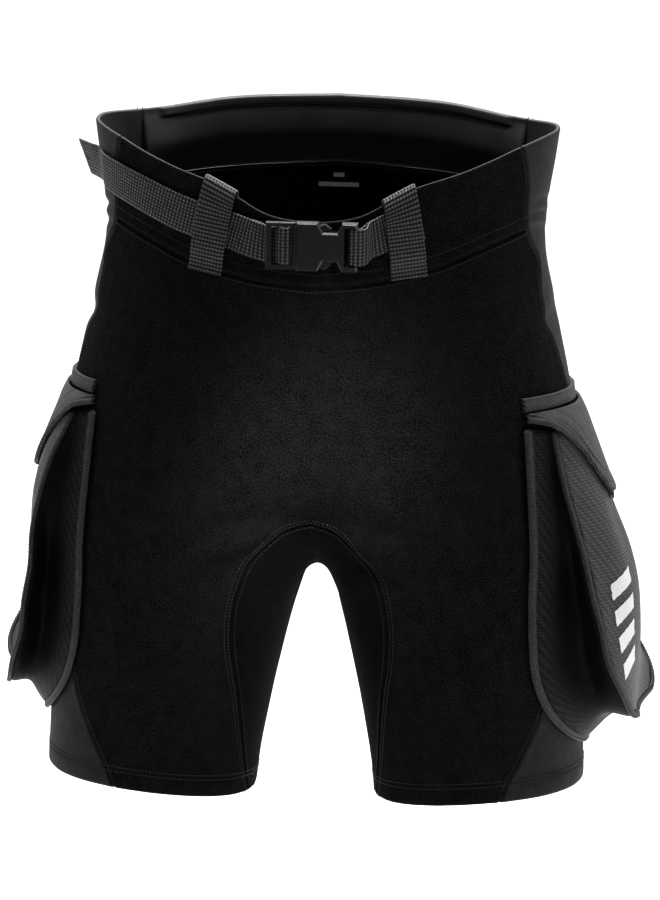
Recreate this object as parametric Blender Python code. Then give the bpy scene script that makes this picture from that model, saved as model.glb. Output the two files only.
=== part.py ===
"""Neoprene cargo shorts, filled out as worn, with their own webbing belt.

Lengths are written in millimetres and scaled to metres when a mesh is made.
+Z is up, the front faces -Y, and the origin is the centre of the waist opening.
The garment is cut from panels; each panel is one closed sheet on a common form.
"""
import math

import bmesh
import bpy
import numpy as np

MM = 0.001
SEAM_GAP = 0.3
WALL = 3.0
HEM_WALL = 5.4
HEM_DEPTH = 14.0

# The filled form, level by level.  Each leg is an elliptical tube that reaches from
# "inner" to "outer" in x; the two tubes run together above the crotch by "blend".
LEVEL = (60, 24, 0, -30, -60, -105, -162, -230, -258, -275, -297, -320, -350, -399, -430, -480)
OUTER = (167, 164, 161, 157, 155.5, 164, 175.5, 184, 187, 188.5, 189.5, 190, 191, 192, 193, 194)
INNER = (-105, -105, -105, -105, -104, -98, -78, -45, -22, -8, 5, 14, 22, 33, 39, 46)
FRONT = (111, 111, 111, 110, 110, 113, 116, 114, 110, 107, 103, 100, 96, 90, 86, 81)
BACK = (111, 111, 112, 115, 118, 127, 135, 135, 130, 126, 118, 110, 102, 94, 89, 84)
BLEND = (24, 24, 24, 24, 24, 26, 30, 34, 30, 26, 20, 18, 18, 18, 18, 18)

# Seams, read by the turn round the leg in degrees: 0 outside, -90 front, +90 back.
TOP_TURN = (-104, -87, -73, -57, -46, -35, -22, 0, 45, 68, 104)
TOP_Z = (-42, -36, -18.5, -7, 1, 8.5, 14, 18, 19, 25, 28.5)
FRONT_BAND_TURN = (-104, -85, -66, -43, -23, -12)
FRONT_BAND_Z = (-86.5, -82, -73, -57.5, -48, -44)
BACK_BAND_TURN = (20, 34, 60, 104)
BACK_BAND_Z = (-34, -32, -27, -21)
SIDE_LEVEL = (60, 10, -11, -56, -69, -97, -128, -160, -200, -260, -320, -367, -393, -417, -440, -480)
SIDE_FRONT_TURN = (-38, -34, -29, -23, -17, -20, -16, -10, -10, -18, -31, -44, -52, -62, -72, -84)
SIDE_BACK_TURN = (34, 33, 31, 27, 26, 23, 20, 18, 18, 22, 30, 38, 44, 50, 56, 64)

HEM_MID = -457.0
HEM_TILT = 8.0
HEM_FRONT_RISE = 5.0

# Gusset seams as x and z on the front and on the back of the form.
ARCH_FRONT_X = (0, 20, 37, 47, 53, 55, 51, 46.5)
ARCH_FRONT_Z = (-256, -262, -279, -296, -315, -340, -387, -464.8)
ARCH_BACK_X = (0, 24, 42, 53, 58, 59, 54, 48)
ARCH_BACK_Z = (-246, -252, -270, -292, -318, -350, -395, -464.6)

BAND_ROWS = 3
CENTRE_ROWS = 8
ARCH_ROWS = 10
HEM_LIFTS = (HEM_DEPTH, HEM_DEPTH - 1.0, 0.0)
PANEL_COLUMNS = 8
SIDE_COLUMNS = 5
GUSSET_COLUMNS = 8


def through(table_x, table_y, x):
    """Smooth curve through a table's points, read at x."""
    xs = np.asarray(table_x, float)
    ys = np.asarray(table_y, float)
    if xs[0] > xs[-1]:
        xs = xs[::-1]
        ys = ys[::-1]
    slope = np.gradient(ys, xs)
    x = np.clip(x, xs[0], xs[-1])
    i = np.clip(np.searchsorted(xs, x) - 1, 0, len(xs) - 2)
    width = xs[i + 1] - xs[i]
    f = (x - xs[i]) / width
    rise = (ys[i + 1] - ys[i]) * f * f * (3 - 2 * f)
    bend = width * f * (1 - f) * (slope[i] * (1 - f) - slope[i + 1] * f)
    return ys[i] + rise + bend


def tube(z):
    """Centre, half width, front depth, back depth and blend of a leg tube."""
    outer = through(LEVEL, OUTER, z)
    inner = through(LEVEL, INNER, z)
    front = through(LEVEL, FRONT, z)
    back = through(LEVEL, BACK, z)
    blend = through(LEVEL, BLEND, z)
    return (outer + inner) / 2, (outer - inner) / 2, front, back, blend


def field(p):
    """Negative inside the filled form, positive outside."""
    centre, half, front, back, blend = tube(p[..., 2])
    depth = np.where(p[..., 1] < 0, front, back)
    x = np.abs(p[..., 0])
    q = (p[..., 1] / depth) ** 2
    near = (np.sqrt(((x - centre) / half) ** 2 + q) - 1) * half
    far = (np.sqrt(((x + centre) / half) ** 2 + q) - 1) * half
    h = np.clip(blend - np.abs(near - far), 0, None) / blend
    return np.minimum(near, far) - h * h * blend / 4


def gradient(p, step=0.4):
    out = np.empty(p.shape)
    for axis in range(3):
        shift = np.zeros(3)
        shift[axis] = step
        out[..., axis] = (field(p + shift) - field(p - shift)) / (2 * step)
    return out


def unit(v):
    return v / np.linalg.norm(v, axis=-1, keepdims=True)


def normal(p):
    return unit(gradient(p))


def cast(origin, direction, reach):
    """Point where a ray from inside leaves the form."""
    low = np.zeros(direction.shape[:-1])
    high = np.broadcast_to(np.asarray(reach, float), low.shape).copy()
    for _ in range(34):
        mid = (low + high) / 2
        inside = field(origin + direction * mid[..., None]) < 0
        low = np.where(inside, mid, low)
        high = np.where(inside, high, mid)
    return origin + direction * low[..., None]


def settle(p):
    """Draws points near the form onto it."""
    for _ in range(5):
        g = gradient(p)
        p = p - g * (field(p) / np.sum(g * g, axis=-1))[..., None]
    return p


def stack(x, y, z):
    return np.stack(np.broadcast_arrays(np.asarray(x, float), y, z), axis=-1)


def wall_point(turn, z):
    """Point of the right half of the form at a turn round the leg and a level."""
    centre, half, front, back, _ = tube(z)
    angle = np.radians(turn)
    depth = np.where(angle < 0, front, back)
    direction = stack(half * np.cos(angle), depth * np.sin(angle), 0 * z)
    inward = np.minimum(direction[..., 0], -1e-6)
    reach = np.where(direction[..., 0] < -1e-6, np.minimum(1.4, -centre / inward), 1.4)
    return cast(stack(centre, 0 * z, z), direction, reach)


def turn_of(p):
    centre, half, front, back, _ = tube(p[..., 2])
    depth = np.where(p[..., 1] < 0, front, back)
    return np.degrees(np.arctan2(p[..., 1] / depth, (p[..., 0] - centre) / half))


def facing(x, z, way):
    """Point on the front (way -1) or back (way +1) of the form at x and z."""
    origin = stack(x, 0 * np.asarray(z, float), z)
    return cast(origin, np.broadcast_to([0.0, way, 0.0], origin.shape), 180.0)


def beside(y, z):
    """Point on the outer side of the right leg at y and z."""
    z = np.asarray(z, float)
    origin = stack(tube(z)[0], y, z)
    return cast(origin, np.broadcast_to([1.0, 0.0, 0.0], origin.shape), 180.0)


def centre_turn(z, way):
    return turn_of(facing(0.0 * z, z, way))


def hem_z(turn, lift):
    """Level of the hem, which climbs to the outside and a little at the front."""
    angle = np.radians(turn)
    front = np.clip(-np.sin(angle), 0, None) ** 2
    return HEM_MID + HEM_TILT * np.cos(angle) + HEM_FRONT_RISE * front + lift


def arch(way):
    """Gusset seam of one leg, from the crotch centre to the hem, as points."""
    xs, zs = (ARCH_FRONT_X, ARCH_FRONT_Z) if way < 0 else (ARCH_BACK_X, ARCH_BACK_Z)
    knots = np.concatenate([[0], np.cumsum(np.hypot(np.diff(xs), np.diff(zs)))])
    fine = np.linspace(0, knots[-1], 400)
    line = facing(through(knots, xs, fine), through(knots, zs, fine), way)
    lift = line[:, 2] - hem_z(turn_of(line), 0)
    length = np.concatenate([[0], np.cumsum(np.linalg.norm(np.diff(line, axis=0), axis=1))])
    at_hem = [np.interp(-lift_wanted, -lift, length) for lift_wanted in HEM_LIFTS]
    rows = np.linspace(0, at_hem[0], ARCH_ROWS + 1)
    rows = np.concatenate([rows, at_hem[1:]])
    return np.stack([np.interp(rows, length, line[:, i]) for i in range(3)], axis=1)


def band_z(turn, way):
    if way < 0:
        return through(FRONT_BAND_TURN, FRONT_BAND_Z, turn)
    return through(BACK_BAND_TURN, BACK_BAND_Z, turn)


def side_turn(z, way):
    return through(SIDE_LEVEL, SIDE_FRONT_TURN if way < 0 else SIDE_BACK_TURN, z)


def side_rows(way):
    """Turn and level of the side seam at every row, waist edge to hem."""
    start = -30.0 if way < 0 else 30.0
    top = np.float64(0)
    foot = np.float64(0)
    for _ in range(8):
        top = through(TOP_TURN, TOP_Z, side_turn(top, way))
        foot = band_z(side_turn(foot, way), way)
    hem = []
    for lift in HEM_LIFTS:
        z = HEM_MID + lift
        for _ in range(8):
            z = hem_z(side_turn(z, way), lift)
        hem.append(z)
    band = np.linspace(top, foot, BAND_ROWS + 1)
    body = np.linspace(foot, hem[0], CENTRE_ROWS + ARCH_ROWS + 1)
    levels = np.concatenate([band, body[1:], hem[1:]])
    return side_turn(levels, way), levels


def band_grid(way, rows, columns):
    """Waistband on the right half: rows of drop 0..1, columns from centre to side."""
    drop = np.asarray(rows, float)[:, None]
    across = np.linspace(0, 1, columns + 1)[None, :]
    end = side_turn(np.float64(0), way)
    turn = way * 102.0 * (1 - across) + end * across + 0 * drop
    for _ in range(6):
        top = through(TOP_TURN, TOP_Z, turn)
        z = top + (band_z(turn, way) - top) * drop
        turn = centre_turn(z, way) * (1 - across) + side_turn(z, way) * across
    grid = wall_point(turn, z)
    grid[:, 0, 0] = 0
    return grid


def leg_rows(way):
    """Inner boundary of a front or back half, band seam down the centre to the hem."""
    line = arch(way)
    start = band_grid(way, [1.0], PANEL_COLUMNS)[0, 0]
    levels = np.linspace(start[2], line[0, 2], CENTRE_ROWS + 1)[:-1]
    centre = facing(0 * levels, levels, way)
    return np.concatenate([centre, line])


def panel_grid(way, columns):
    """Front or back half: rows from band seam to hem, columns from inside to side."""
    inner = leg_rows(way)
    turn_in = turn_of(inner)
    z_in = inner[:, 2]
    turn_out, z_out = side_rows(way)
    turn_out = turn_out[BAND_ROWS:]
    z_out = z_out[BAND_ROWS:]
    across = np.linspace(0, 1, columns + 1)[None, :]
    turn = turn_in[:, None] * (1 - across) + turn_out[:, None] * across
    z = z_in[:, None] * (1 - across) + z_out[:, None] * across
    band = band_grid(way, [1.0], columns)[0]
    sag = band[:, 2] - z[0]
    rows = np.arange(len(z_in))[:, None]
    fade = np.clip(1 - rows / (CENTRE_ROWS + 2), 0, 1) ** 2
    z = z + sag[None, :] * fade
    turn = turn + (turn_of(band) - turn[0])[None, :] * fade
    lifts = np.array(HEM_LIFTS)[:, None]
    hem_rows = len(HEM_LIFTS)
    bow = hem_z(turn[-hem_rows:], lifts) - z[-hem_rows:]
    grow = np.clip((rows[:-hem_rows] - CENTRE_ROWS) / ARCH_ROWS, 0, 1) ** 2
    z[:-hem_rows] += bow[0][None, :] * grow
    z[-hem_rows:] += bow
    grid = wall_point(turn, z)
    grid[:CENTRE_ROWS + 1, 0, 0] = 0
    return grid


def side_grid(columns):
    turn_a, z_a = side_rows(-1)
    turn_b, z_b = side_rows(1)
    across = np.linspace(0, 1, columns + 1)[None, :]
    turn = turn_a[:, None] * (1 - across) + turn_b[:, None] * across
    z = z_a[:, None] * (1 - across) + z_b[:, None] * across
    top = through(TOP_TURN, TOP_Z, turn[0])
    rows = np.arange(len(z_a))[:, None]
    z = z + (top - z[0])[None, :] * np.clip(1 - rows / (BAND_ROWS + 1), 0, 1)
    lifts = np.array(HEM_LIFTS)[:, None]
    hem_rows = len(HEM_LIFTS)
    bow = hem_z(turn[-hem_rows:], lifts) - z[-hem_rows:]
    grow = np.clip((rows[:-hem_rows] - BAND_ROWS - CENTRE_ROWS) / ARCH_ROWS, 0, 1) ** 2
    z[:-hem_rows] += bow[0][None, :] * grow
    z[-hem_rows:] += bow
    return wall_point(turn, z)


def gusset_grid(columns):
    """Half gusset: rows from the crotch centre to the hem, columns front to back."""
    front = arch(-1)
    back = arch(1)
    run = np.concatenate([[0], np.cumsum(np.linalg.norm(np.diff(front, axis=0), axis=1))])
    w = np.clip(run / 105.0, 0, 1)
    w = w * w * (3 - 2 * w)
    level = (front[:, 2] + back[:, 2]) / 2
    centre, half, _, _, _ = tube(level)
    eye = stack(centre * w, 0 * w, level + 42.0 * (1 - w))
    crotch = cast(np.array([0.0, 0.0, -215.0]), np.array([0.0, 0.0, -1.0]), 110.0)
    under = np.minimum(level, crotch[2] - 12.0)
    low_centre, low_half, _, _, _ = tube(under)
    inside = stack(low_centre - low_half, 0 * w, under)
    middle = crotch * (1 - w)[:, None] + inside * w[:, None]
    steer = 2 * middle - (front + back) / 2
    f = np.linspace(0, 1, columns + 1)[None, :, None]
    aim = (front[:, None] * (1 - f) ** 2 + steer[:, None] * 2 * f * (1 - f)
           + back[:, None] * f * f)
    direction = aim - eye[:, None]
    towards = np.minimum(direction[..., 0], -1e-6)
    limit = np.where(direction[..., 0] < -1e-6, -eye[:, None, 0] / towards, 9.0)
    grid = cast(eye[:, None] + 0 * aim, direction, np.minimum(limit, 1.9))
    rows = len(HEM_LIFTS)
    turn = turn_of(grid[-rows:])
    grid[-rows:] = wall_point(turn, hem_z(turn, np.array(HEM_LIFTS)[:, None]))
    grid[:, 0] = front
    grid[:, -1] = back
    grid[0, :, 0] = 0
    return grid


def draw_in(grid, edge, span=slice(None)):
    """Draws one edge of a panel in by half the seam gap."""
    line, following = {
        "top": (grid[0], grid[1]),
        "foot": (grid[-1], grid[-2]),
        "first": (grid[:, 0], grid[:, 1]),
        "last": (grid[:, -1], grid[:, -2]),
    }[edge]
    along = np.gradient(line, axis=0)
    inward = unit(np.cross(normal(line), along))
    side = np.sign(np.sum(inward * (following - line)))
    line[span] += inward[span] * side * SEAM_GAP / 2


def hem_walls(rows):
    walls = np.full(rows, WALL)
    walls[-len(HEM_LIFTS) + 1:] = HEM_WALL
    return walls[:, None, None]


def mirrored(grid):
    return grid * np.array([-1.0, 1.0, 1.0])


def both_halves(outer, inner):
    return [(outer, inner), (mirrored(outer), mirrored(inner))]


def make_object(name, points, faces, material):
    mesh = bpy.data.meshes.new(name)
    mesh.from_pydata([tuple(float(v) * MM for v in p) for p in points], [], faces)
    form = bmesh.new()
    form.from_mesh(mesh)
    bmesh.ops.recalc_face_normals(form, faces=form.faces)
    form.to_mesh(mesh)
    form.free()
    mesh.materials.append(material)
    obj = bpy.data.objects.new(name, mesh)
    bpy.context.scene.collection.objects.link(obj)
    return obj


RIM_LEAN = np.array([0.3, 0.2, 1.0])


def sheet(name, patches, material):
    """Closed sheet from patches, each a pair of outer and inner point grids.

    Rim quads are split from their upper end, so two panels split a shared seam alike.
    """
    index = {}
    outside = []
    inside = []
    quads = []
    for outer, inner in patches:
        rows, columns = outer.shape[:2]
        ids = np.empty((rows, columns), int)
        for r in range(rows):
            for c in range(columns):
                key = tuple(np.round(outer[r, c], 3) + 0.0)
                if key not in index:
                    index[key] = len(outside)
                    outside.append(outer[r, c])
                    inside.append(inner[r, c])
                ids[r, c] = index[key]
        for r in range(rows - 1):
            for c in range(columns - 1):
                quads.append((ids[r, c], ids[r, c + 1], ids[r + 1, c + 1], ids[r + 1, c]))
    quads = [tuple(int(v) for v in quad) for quad in quads]
    count = len(outside)
    uses = {}
    for quad in quads:
        for a, b in zip(quad, quad[1:] + quad[:1]):
            uses.setdefault(frozenset((a, b)), []).append((a, b))
    faces = list(quads)
    faces += [tuple(v + count for v in reversed(quad)) for quad in quads]
    height = np.array(outside) @ RIM_LEAN
    for edges in uses.values():
        if len(edges) == 1:
            a, b = edges[0]
            if height[a] > height[b]:
                faces += [(b, a, b + count), (a, a + count, b + count)]
            else:
                faces += [(b, a, a + count), (b, a + count, b + count)]
    return make_object(name, outside + inside, faces, material)


def skinned(name, rings, material):
    """Closed solid through equal rings of points, its ends capped."""
    rings = np.asarray(rings)
    steps, size = rings.shape[:2]
    faces = [tuple(range(size)), tuple((steps - 1) * size + i for i in reversed(range(size)))]
    for k in range(steps - 1):
        for i in range(size):
            j = (i + 1) % size
            faces.append((k * size + i, k * size + j, (k + 1) * size + j, (k + 1) * size + i))
    return make_object(name, rings.reshape(-1, 3), faces, material)


def fabric(name, colour, roughness):
    material = bpy.data.materials.new(name)
    material.use_nodes = True
    shader = material.node_tree.nodes["Principled BSDF"]
    shader.inputs["Base Color"].default_value = (*colour, 1.0)
    shader.inputs["Roughness"].default_value = roughness
    shader.inputs["Metallic"].default_value = 0.0
    return material


def make_waistband_front():
    grid = band_grid(-1, np.linspace(0, 1, BAND_ROWS + 1), PANEL_COLUMNS)
    draw_in(grid, "foot")
    draw_in(grid, "last")
    grid[:, 0, 0] = 0
    inner = grid - normal(grid) * WALL
    inner[:, 0, 0] = 0
    material = fabric("neoprene_waistband_front", (0.02, 0.02, 0.021), 0.85)
    sheet("waistband_front", both_halves(grid, inner), material)


def make_waistband_back():
    """Back waistband with its upper edge rolled over to about twice the wall."""
    drops = [0.0, 0.03, 0.12, 0.16, 0.55, 1.0]
    swell = np.array([0.3, 1.0, 1.0, 0.0, 0.0, 0.0])
    grid = band_grid(1, drops, PANEL_COLUMNS)
    draw_in(grid, "foot")
    draw_in(grid, "last")
    grid[:, 0, 0] = 0
    columns = np.arange(PANEL_COLUMNS + 1)
    reach = np.clip(PANEL_COLUMNS - 1 - columns, 0, 1)
    roll = (swell[:, None] * reach[None, :])[..., None]
    facing_out = normal(grid)
    outer = grid + facing_out * roll * 1.0
    inner = grid - facing_out * (WALL + roll * 2.0)
    outer[:, 0, 0] = 0
    inner[:, 0, 0] = 0
    material = fabric("neoprene_waistband_back", (0.022, 0.022, 0.023), 0.8)
    sheet("waistband_back", both_halves(outer, inner), material)


def make_panel(name, way, colour):
    grid = panel_grid(way, PANEL_COLUMNS)
    draw_in(grid, "top")
    draw_in(grid, "last")
    draw_in(grid, "first", slice(CENTRE_ROWS, None))
    grid[:CENTRE_ROWS + 1, 0, 0] = 0
    inner = grid - normal(grid) * hem_walls(len(grid))
    inner[:CENTRE_ROWS + 1, 0, 0] = 0
    sheet(name, both_halves(grid, inner), fabric("neoprene_" + name, colour, 0.85))


def make_side_panel(name, flip):
    grid = side_grid(SIDE_COLUMNS)
    draw_in(grid, "first")
    draw_in(grid, "last")
    inner = grid - normal(grid) * hem_walls(len(grid))
    if flip:
        grid = mirrored(grid)
        inner = mirrored(inner)
    sheet(name, [(grid, inner)], fabric("knit_" + name, (0.06, 0.06, 0.063), 0.7))


def make_gusset():
    grid = gusset_grid(GUSSET_COLUMNS)
    draw_in(grid, "first")
    draw_in(grid, "last")
    grid[0, :, 0] = 0
    inner = grid - normal(grid) * hem_walls(len(grid))
    inner[0, :, 0] = 0
    sheet("gusset", both_halves(grid, inner), fabric("neoprene_gusset", (0.03, 0.03, 0.03), 0.8))


def make_body():
    make_waistband_front()
    make_waistband_back()
    make_panel("front_panel", -1, (0.018, 0.018, 0.019))
    make_panel("back_panel", 1, (0.018, 0.018, 0.019))
    make_side_panel("side_panel_left", False)
    make_side_panel("side_panel_right", True)
    make_gusset()


# Cargo pocket on the wearer's left; the other one is its mirror image, hung higher.
STRIP_TOP = -163.0
STRIP_FOOT = -172.5
FLAP_HALF_Y = 80.0
FLAP_ALONG = (-1, -0.85, -0.6, -0.4, -0.2, 0, 0.2, 0.4, 0.6, 0.85, 1)
FLAP_FOOT_Y = (-80, -69, -46, -30, -15, 0, 15, 30, 46, 69, 80)
FLAP_FOOT_Z = (-179, -184, -203, -224, -236, -239, -236, -224, -203, -184, -179)
FACE_LEVEL = (-187, -225, -250, -275, -300, -325, -365, -392)
LEFT_EDGE_X = (166, 175, 183, 190, 197, 203, 215, 228)
LEFT_MID_X = (186, 201, 211, 221, 227, 229.5, 231, 231)
RIGHT_EDGE_X = (170, 187, 194, 198, 200, 203, 210, 219)
RIGHT_MID_X = (185, 199, 204, 205, 205, 206, 212, 220)
FACE_HALF_Y = (66, 68, 69, 70, 71, 71, 67, 47)
SEAT_LEVEL = (-184, -250, -325, -370, -392, -405)
SEAT_HALF_Y = (78, 81, 80, 73, 62, 47)
SEAT_SAG = 12.0
POCKET_ROWS = 9
POCKET_COLUMNS = 6
BELLOWS_COLUMNS = 4
PLEAT_SHAPE = (0, 0.55, 1, 0.55, 0)
MESH_WALL = 1.2
BINDING_WIDE = 2.7
BINDING_DEEP = 1.9
BINDING_CLEAR = 3.1
SEAT_CLEAR = 1.2


def outline(levels, half_ys, rows, columns, sag):
    """U outline of a pocket in y and z: down the front, across and up the back."""
    top, foot = levels[0], levels[-1]
    down = top + (foot - top) * np.linspace(0, 1, rows + 1) ** 0.8
    half = through(levels, half_ys, down)
    along = np.linspace(-1, 1, columns + 1)[1:-1]
    y = np.concatenate([-half, half[-1] * along, half[::-1]])
    z = np.concatenate([down, foot - sag * (1 - along ** 2), down[::-1]])
    return y, z


def tangents(line):
    return unit(np.gradient(line, axis=0))


def binding(name, line, outward, material):
    """Folded tape that follows an outline, oval in section."""
    along = tangents(line)
    across = unit(np.cross(along, outward))
    lift = unit(np.cross(across, along))
    rings = []
    for k in range(6):
        turn = math.radians(60 * k + 30)
        rings.append(line + across * BINDING_WIDE * math.cos(turn)
                     + lift * BINDING_DEEP * math.sin(turn))
    skinned(name, np.stack(rings, axis=1), material)


class Pocket:
    """Points of one pocket in the right half; "place" puts them on their own side."""

    def __init__(self, side, edge_x, mid_x, lift_top, lift_foot, aft):
        self.side = side
        self.edge_x = edge_x
        self.mid_x = mid_x
        self.lift_top = lift_top
        self.lift_foot = lift_foot
        self.aft = aft

    def level(self, z):
        share = (STRIP_TOP - z) / (STRIP_TOP - SEAT_LEVEL[-1])
        return z + self.lift_top + (self.lift_foot - self.lift_top) * share

    def place(self, p):
        return p if self.side > 0 else mirrored(p)

    def seat_point(self, y, z):
        return beside(y + self.aft, self.level(z))

    def face_x(self, y, z):
        """Outward reach of the face; its lower back corner flares."""
        half = through(FACE_LEVEL, FACE_HALF_Y, z)
        edge = through(FACE_LEVEL, self.edge_x, z)
        mid = through(FACE_LEVEL, self.mid_x, z)
        across = np.clip(np.abs(y) / half, 0, 1)
        low = np.exp(-((z + 376.0) / 36.0) ** 2)
        flare = 18.0 * np.clip(y / half, 0, 1) ** 2 * low
        return edge + (mid - edge) * (1 - across ** 2.2) + flare

    def face_point(self, y, z):
        return stack(self.face_x(y, z), y + self.aft, self.level(z))

    def seat_line(self):
        y, z = outline(SEAT_LEVEL, SEAT_HALF_Y, POCKET_ROWS, POCKET_COLUMNS, SEAT_SAG)
        line = self.seat_point(y, z)
        return line, normal(line)

    def face_line(self):
        y, z = outline(FACE_LEVEL, FACE_HALF_Y, POCKET_ROWS, POCKET_COLUMNS, 5.0)
        return self.face_point(y, z)

    def face_outward(self, line):
        lean = np.clip(line[:, 1] / 160.0, -0.45, 0.45)
        return unit(stack(1.0, lean, 0 * lean + 0.25))

    def middle(self, z):
        seat = beside(0 * z + self.aft, z)
        return stack((seat[..., 0] + 226.0) / 2, 0 * z + self.aft, np.maximum(z, -370.0))


def make_strip(pocket, suffix, material):
    turn = np.linspace(-42, 42, 15) + pocket.aft
    levels = pocket.level(np.array([STRIP_TOP, STRIP_FOOT]))
    grid = wall_point(turn[None, :] + 0 * levels[:, None], levels[:, None] + 0 * turn[None, :])
    n = normal(grid)
    sheet("pocket_strip_" + suffix, [(pocket.place(grid + n * 3.2), pocket.place(grid + n * 0.4))],
          material)


def flap_middle(pocket, y, z):
    """Middle of the flap's cloth: over the face, dropping to the panel at its ends."""
    half = through(FACE_LEVEL, FACE_HALF_Y, z)
    ratio = np.abs(y) / half
    seat = pocket.seat_point(y, z)[..., 0]
    over = pocket.face_x(y, z) + 3.0 + 2.6 * np.clip(ratio, 0, 1) ** 6
    past = np.clip((ratio - 1.07) / 0.14, 0, 1)
    past = past * past * (3 - 2 * past)
    over = over * (1 - past) + (seat + 3.6) * past
    root = np.clip((z + 187.0) / 13.5, 0, 1)
    return np.maximum(over * (1 - root) + (seat + 5.0) * root, seat + 3.4)


def make_flap(pocket, suffix, material):
    along = np.linspace(-1, 1, 15)
    foot_y = through(FLAP_ALONG, FLAP_FOOT_Y, along)
    foot_z = through(FLAP_ALONG, FLAP_FOOT_Z, along)
    share = np.linspace(0, 1, 6)[:, None]
    y = FLAP_HALF_Y * along * (1 - share) + foot_y * share
    z = (STRIP_FOOT - 0.6) * (1 - share) + foot_z * share
    grid = stack(flap_middle(pocket, y, z), y + pocket.aft, pocket.level(z))
    n = unit(np.cross(np.gradient(grid, axis=1), np.gradient(grid, axis=0)))
    n = n * np.sign(n[..., :1].mean())
    sheet("pocket_flap_" + suffix, [(pocket.place(grid + n * 1.1), pocket.place(grid - n * 1.1))],
          material)


def make_face(pocket, suffix, material):
    foot_z = FACE_LEVEL[-1]
    share = np.linspace(0, 1, POCKET_ROWS + 2)[:, None]
    across = np.linspace(-1, 1, 9)[None, :]
    level = FACE_LEVEL[0] + (foot_z - FACE_LEVEL[0]) * share ** 0.8
    half = through(FACE_LEVEL, FACE_HALF_Y, level) - BINDING_CLEAR * 1.1
    y = half * across
    z = level + 0 * across
    sag = (BINDING_CLEAR * 1.15 - 5.0 * (1 - across ** 2)) * share ** 3
    z = z + sag
    grid = pocket.face_point(y, z)
    n = unit(np.cross(np.gradient(grid, axis=1), np.gradient(grid, axis=0)))
    n = n * np.sign(n[..., :1].mean())
    thick = n * MESH_WALL / 2
    sheet("pocket_face_" + suffix, [(pocket.place(grid + thick), pocket.place(grid - thick))],
          material)


def make_bellows(pocket, suffix, material):
    seat, seat_out = pocket.seat_line()
    face = pocket.face_line()
    rise = seat + seat_out * (BINDING_DEEP + SEAT_CLEAR)
    way = unit(face - rise)
    start = rise + way * (BINDING_CLEAR + 0.3)
    end = face - way * (BINDING_CLEAR + 0.5)
    count = len(seat)
    place = np.linspace(0, 1, count)
    depth = through((0, 0.1, 0.28, 0.4, 0.5, 0.6, 0.72, 0.9, 1),
                    (3, 11, 19, 10, 7, 10, 19, 11, 3), place)
    w = np.linspace(0, 1, BELLOWS_COLUMNS + 1)[None, :, None]
    flat = start[:, None] * (1 - w) + end[:, None] * w
    inward = unit(pocket.middle(flat[..., 2]) - flat)
    toward_face = np.sum(inward[:, BELLOWS_COLUMNS // 2] * way, axis=1)
    room = np.linalg.norm(end - start, axis=1)
    depth = np.minimum(depth, 0.4 * room / np.clip(toward_face, 0.2, 1.0))
    fold = np.array(PLEAT_SHAPE)[None, :, None] * depth[:, None, None]
    grid = flat + inward * fold
    n = unit(np.cross(np.gradient(grid, axis=1), np.gradient(grid, axis=0)))
    n = n * np.sign(-np.sum(n * inward))
    thick = n * MESH_WALL / 2
    sheet("pocket_bellows_" + suffix, [(pocket.place(grid + thick), pocket.place(grid - thick))],
          material)


def make_bindings(pocket, suffix):
    material = fabric("tape_pocket_seat_" + suffix, (0.03, 0.03, 0.03), 0.7)
    seat, seat_out = pocket.seat_line()
    line = seat + seat_out * (BINDING_DEEP + SEAT_CLEAR)
    binding("pocket_seat_binding_" + suffix, pocket.place(line), pocket.place(seat_out), material)
    material = fabric("tape_pocket_face_" + suffix, (0.03, 0.03, 0.03), 0.7)
    face = pocket.face_line()
    outward = pocket.face_outward(face)
    binding("pocket_face_binding_" + suffix, pocket.place(face), pocket.place(outward), material)


def make_pocket(pocket, suffix):
    make_strip(pocket, suffix, fabric("twill_strip_" + suffix, (0.03, 0.03, 0.03), 0.75))
    make_flap(pocket, suffix, fabric("twill_flap_" + suffix, (0.028, 0.028, 0.028), 0.75))
    make_face(pocket, suffix, fabric("mesh_face_" + suffix, (0.022, 0.022, 0.022), 0.8))
    make_bellows(pocket, suffix, fabric("mesh_bellows_" + suffix, (0.02, 0.02, 0.02), 0.85))
    make_bindings(pocket, suffix)


# Belt: webbing straps either side of a side-release buckle, lying on the waistband.
WEB = 1.8
WEB_HALF = 12.5
BELT_X = (-165, -151, -135, -115, -93, -68, -50, -36, -24, 0, 28, 40, 50, 62, 84)
BELT_Z = (-10, -16.5, -22, -29.5, -38, -45, -50, -54, -56, -56, -56, -51, -46.5, -42, -36)
BAR_RIGHT_X = -17.5
BAR_LEFT_X = 29.5
BUCKLE_X = 1.6
BUCKLE_Z = -56.0
BUCKLE_Y = -121.0


def belt_point(x, lift):
    x = np.asarray(x, float)
    z = through(BELT_X, BELT_Z, x)
    foot = facing(x, z, -1)
    return foot + normal(foot) * np.asarray(lift, float)[..., None]


def webbing(name, line, width_dir):
    """Flat strap along a line of points, its width along the directions given."""
    material = fabric("webbing_" + name, (0.045, 0.045, 0.046), 0.55)
    along = tangents(line)
    thick = unit(np.cross(width_dir, along)) * WEB / 2
    across = width_dir * WEB_HALF
    rings = np.stack([line + across + thick, line - across + thick,
                      line - across - thick, line + across - thick], axis=1)
    skinned(name, rings, material)


def round_bar(bar_x, way, count=7):
    """Half turn of webbing round a buckle bar, from the outer layer to the inner."""
    turn = np.radians(np.linspace(90, -90, count))
    radius = 3.4
    return stack(bar_x + way * radius * np.cos(turn), BUCKLE_Y - radius * np.sin(turn),
                 BUCKLE_Z + 0 * turn)


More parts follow.
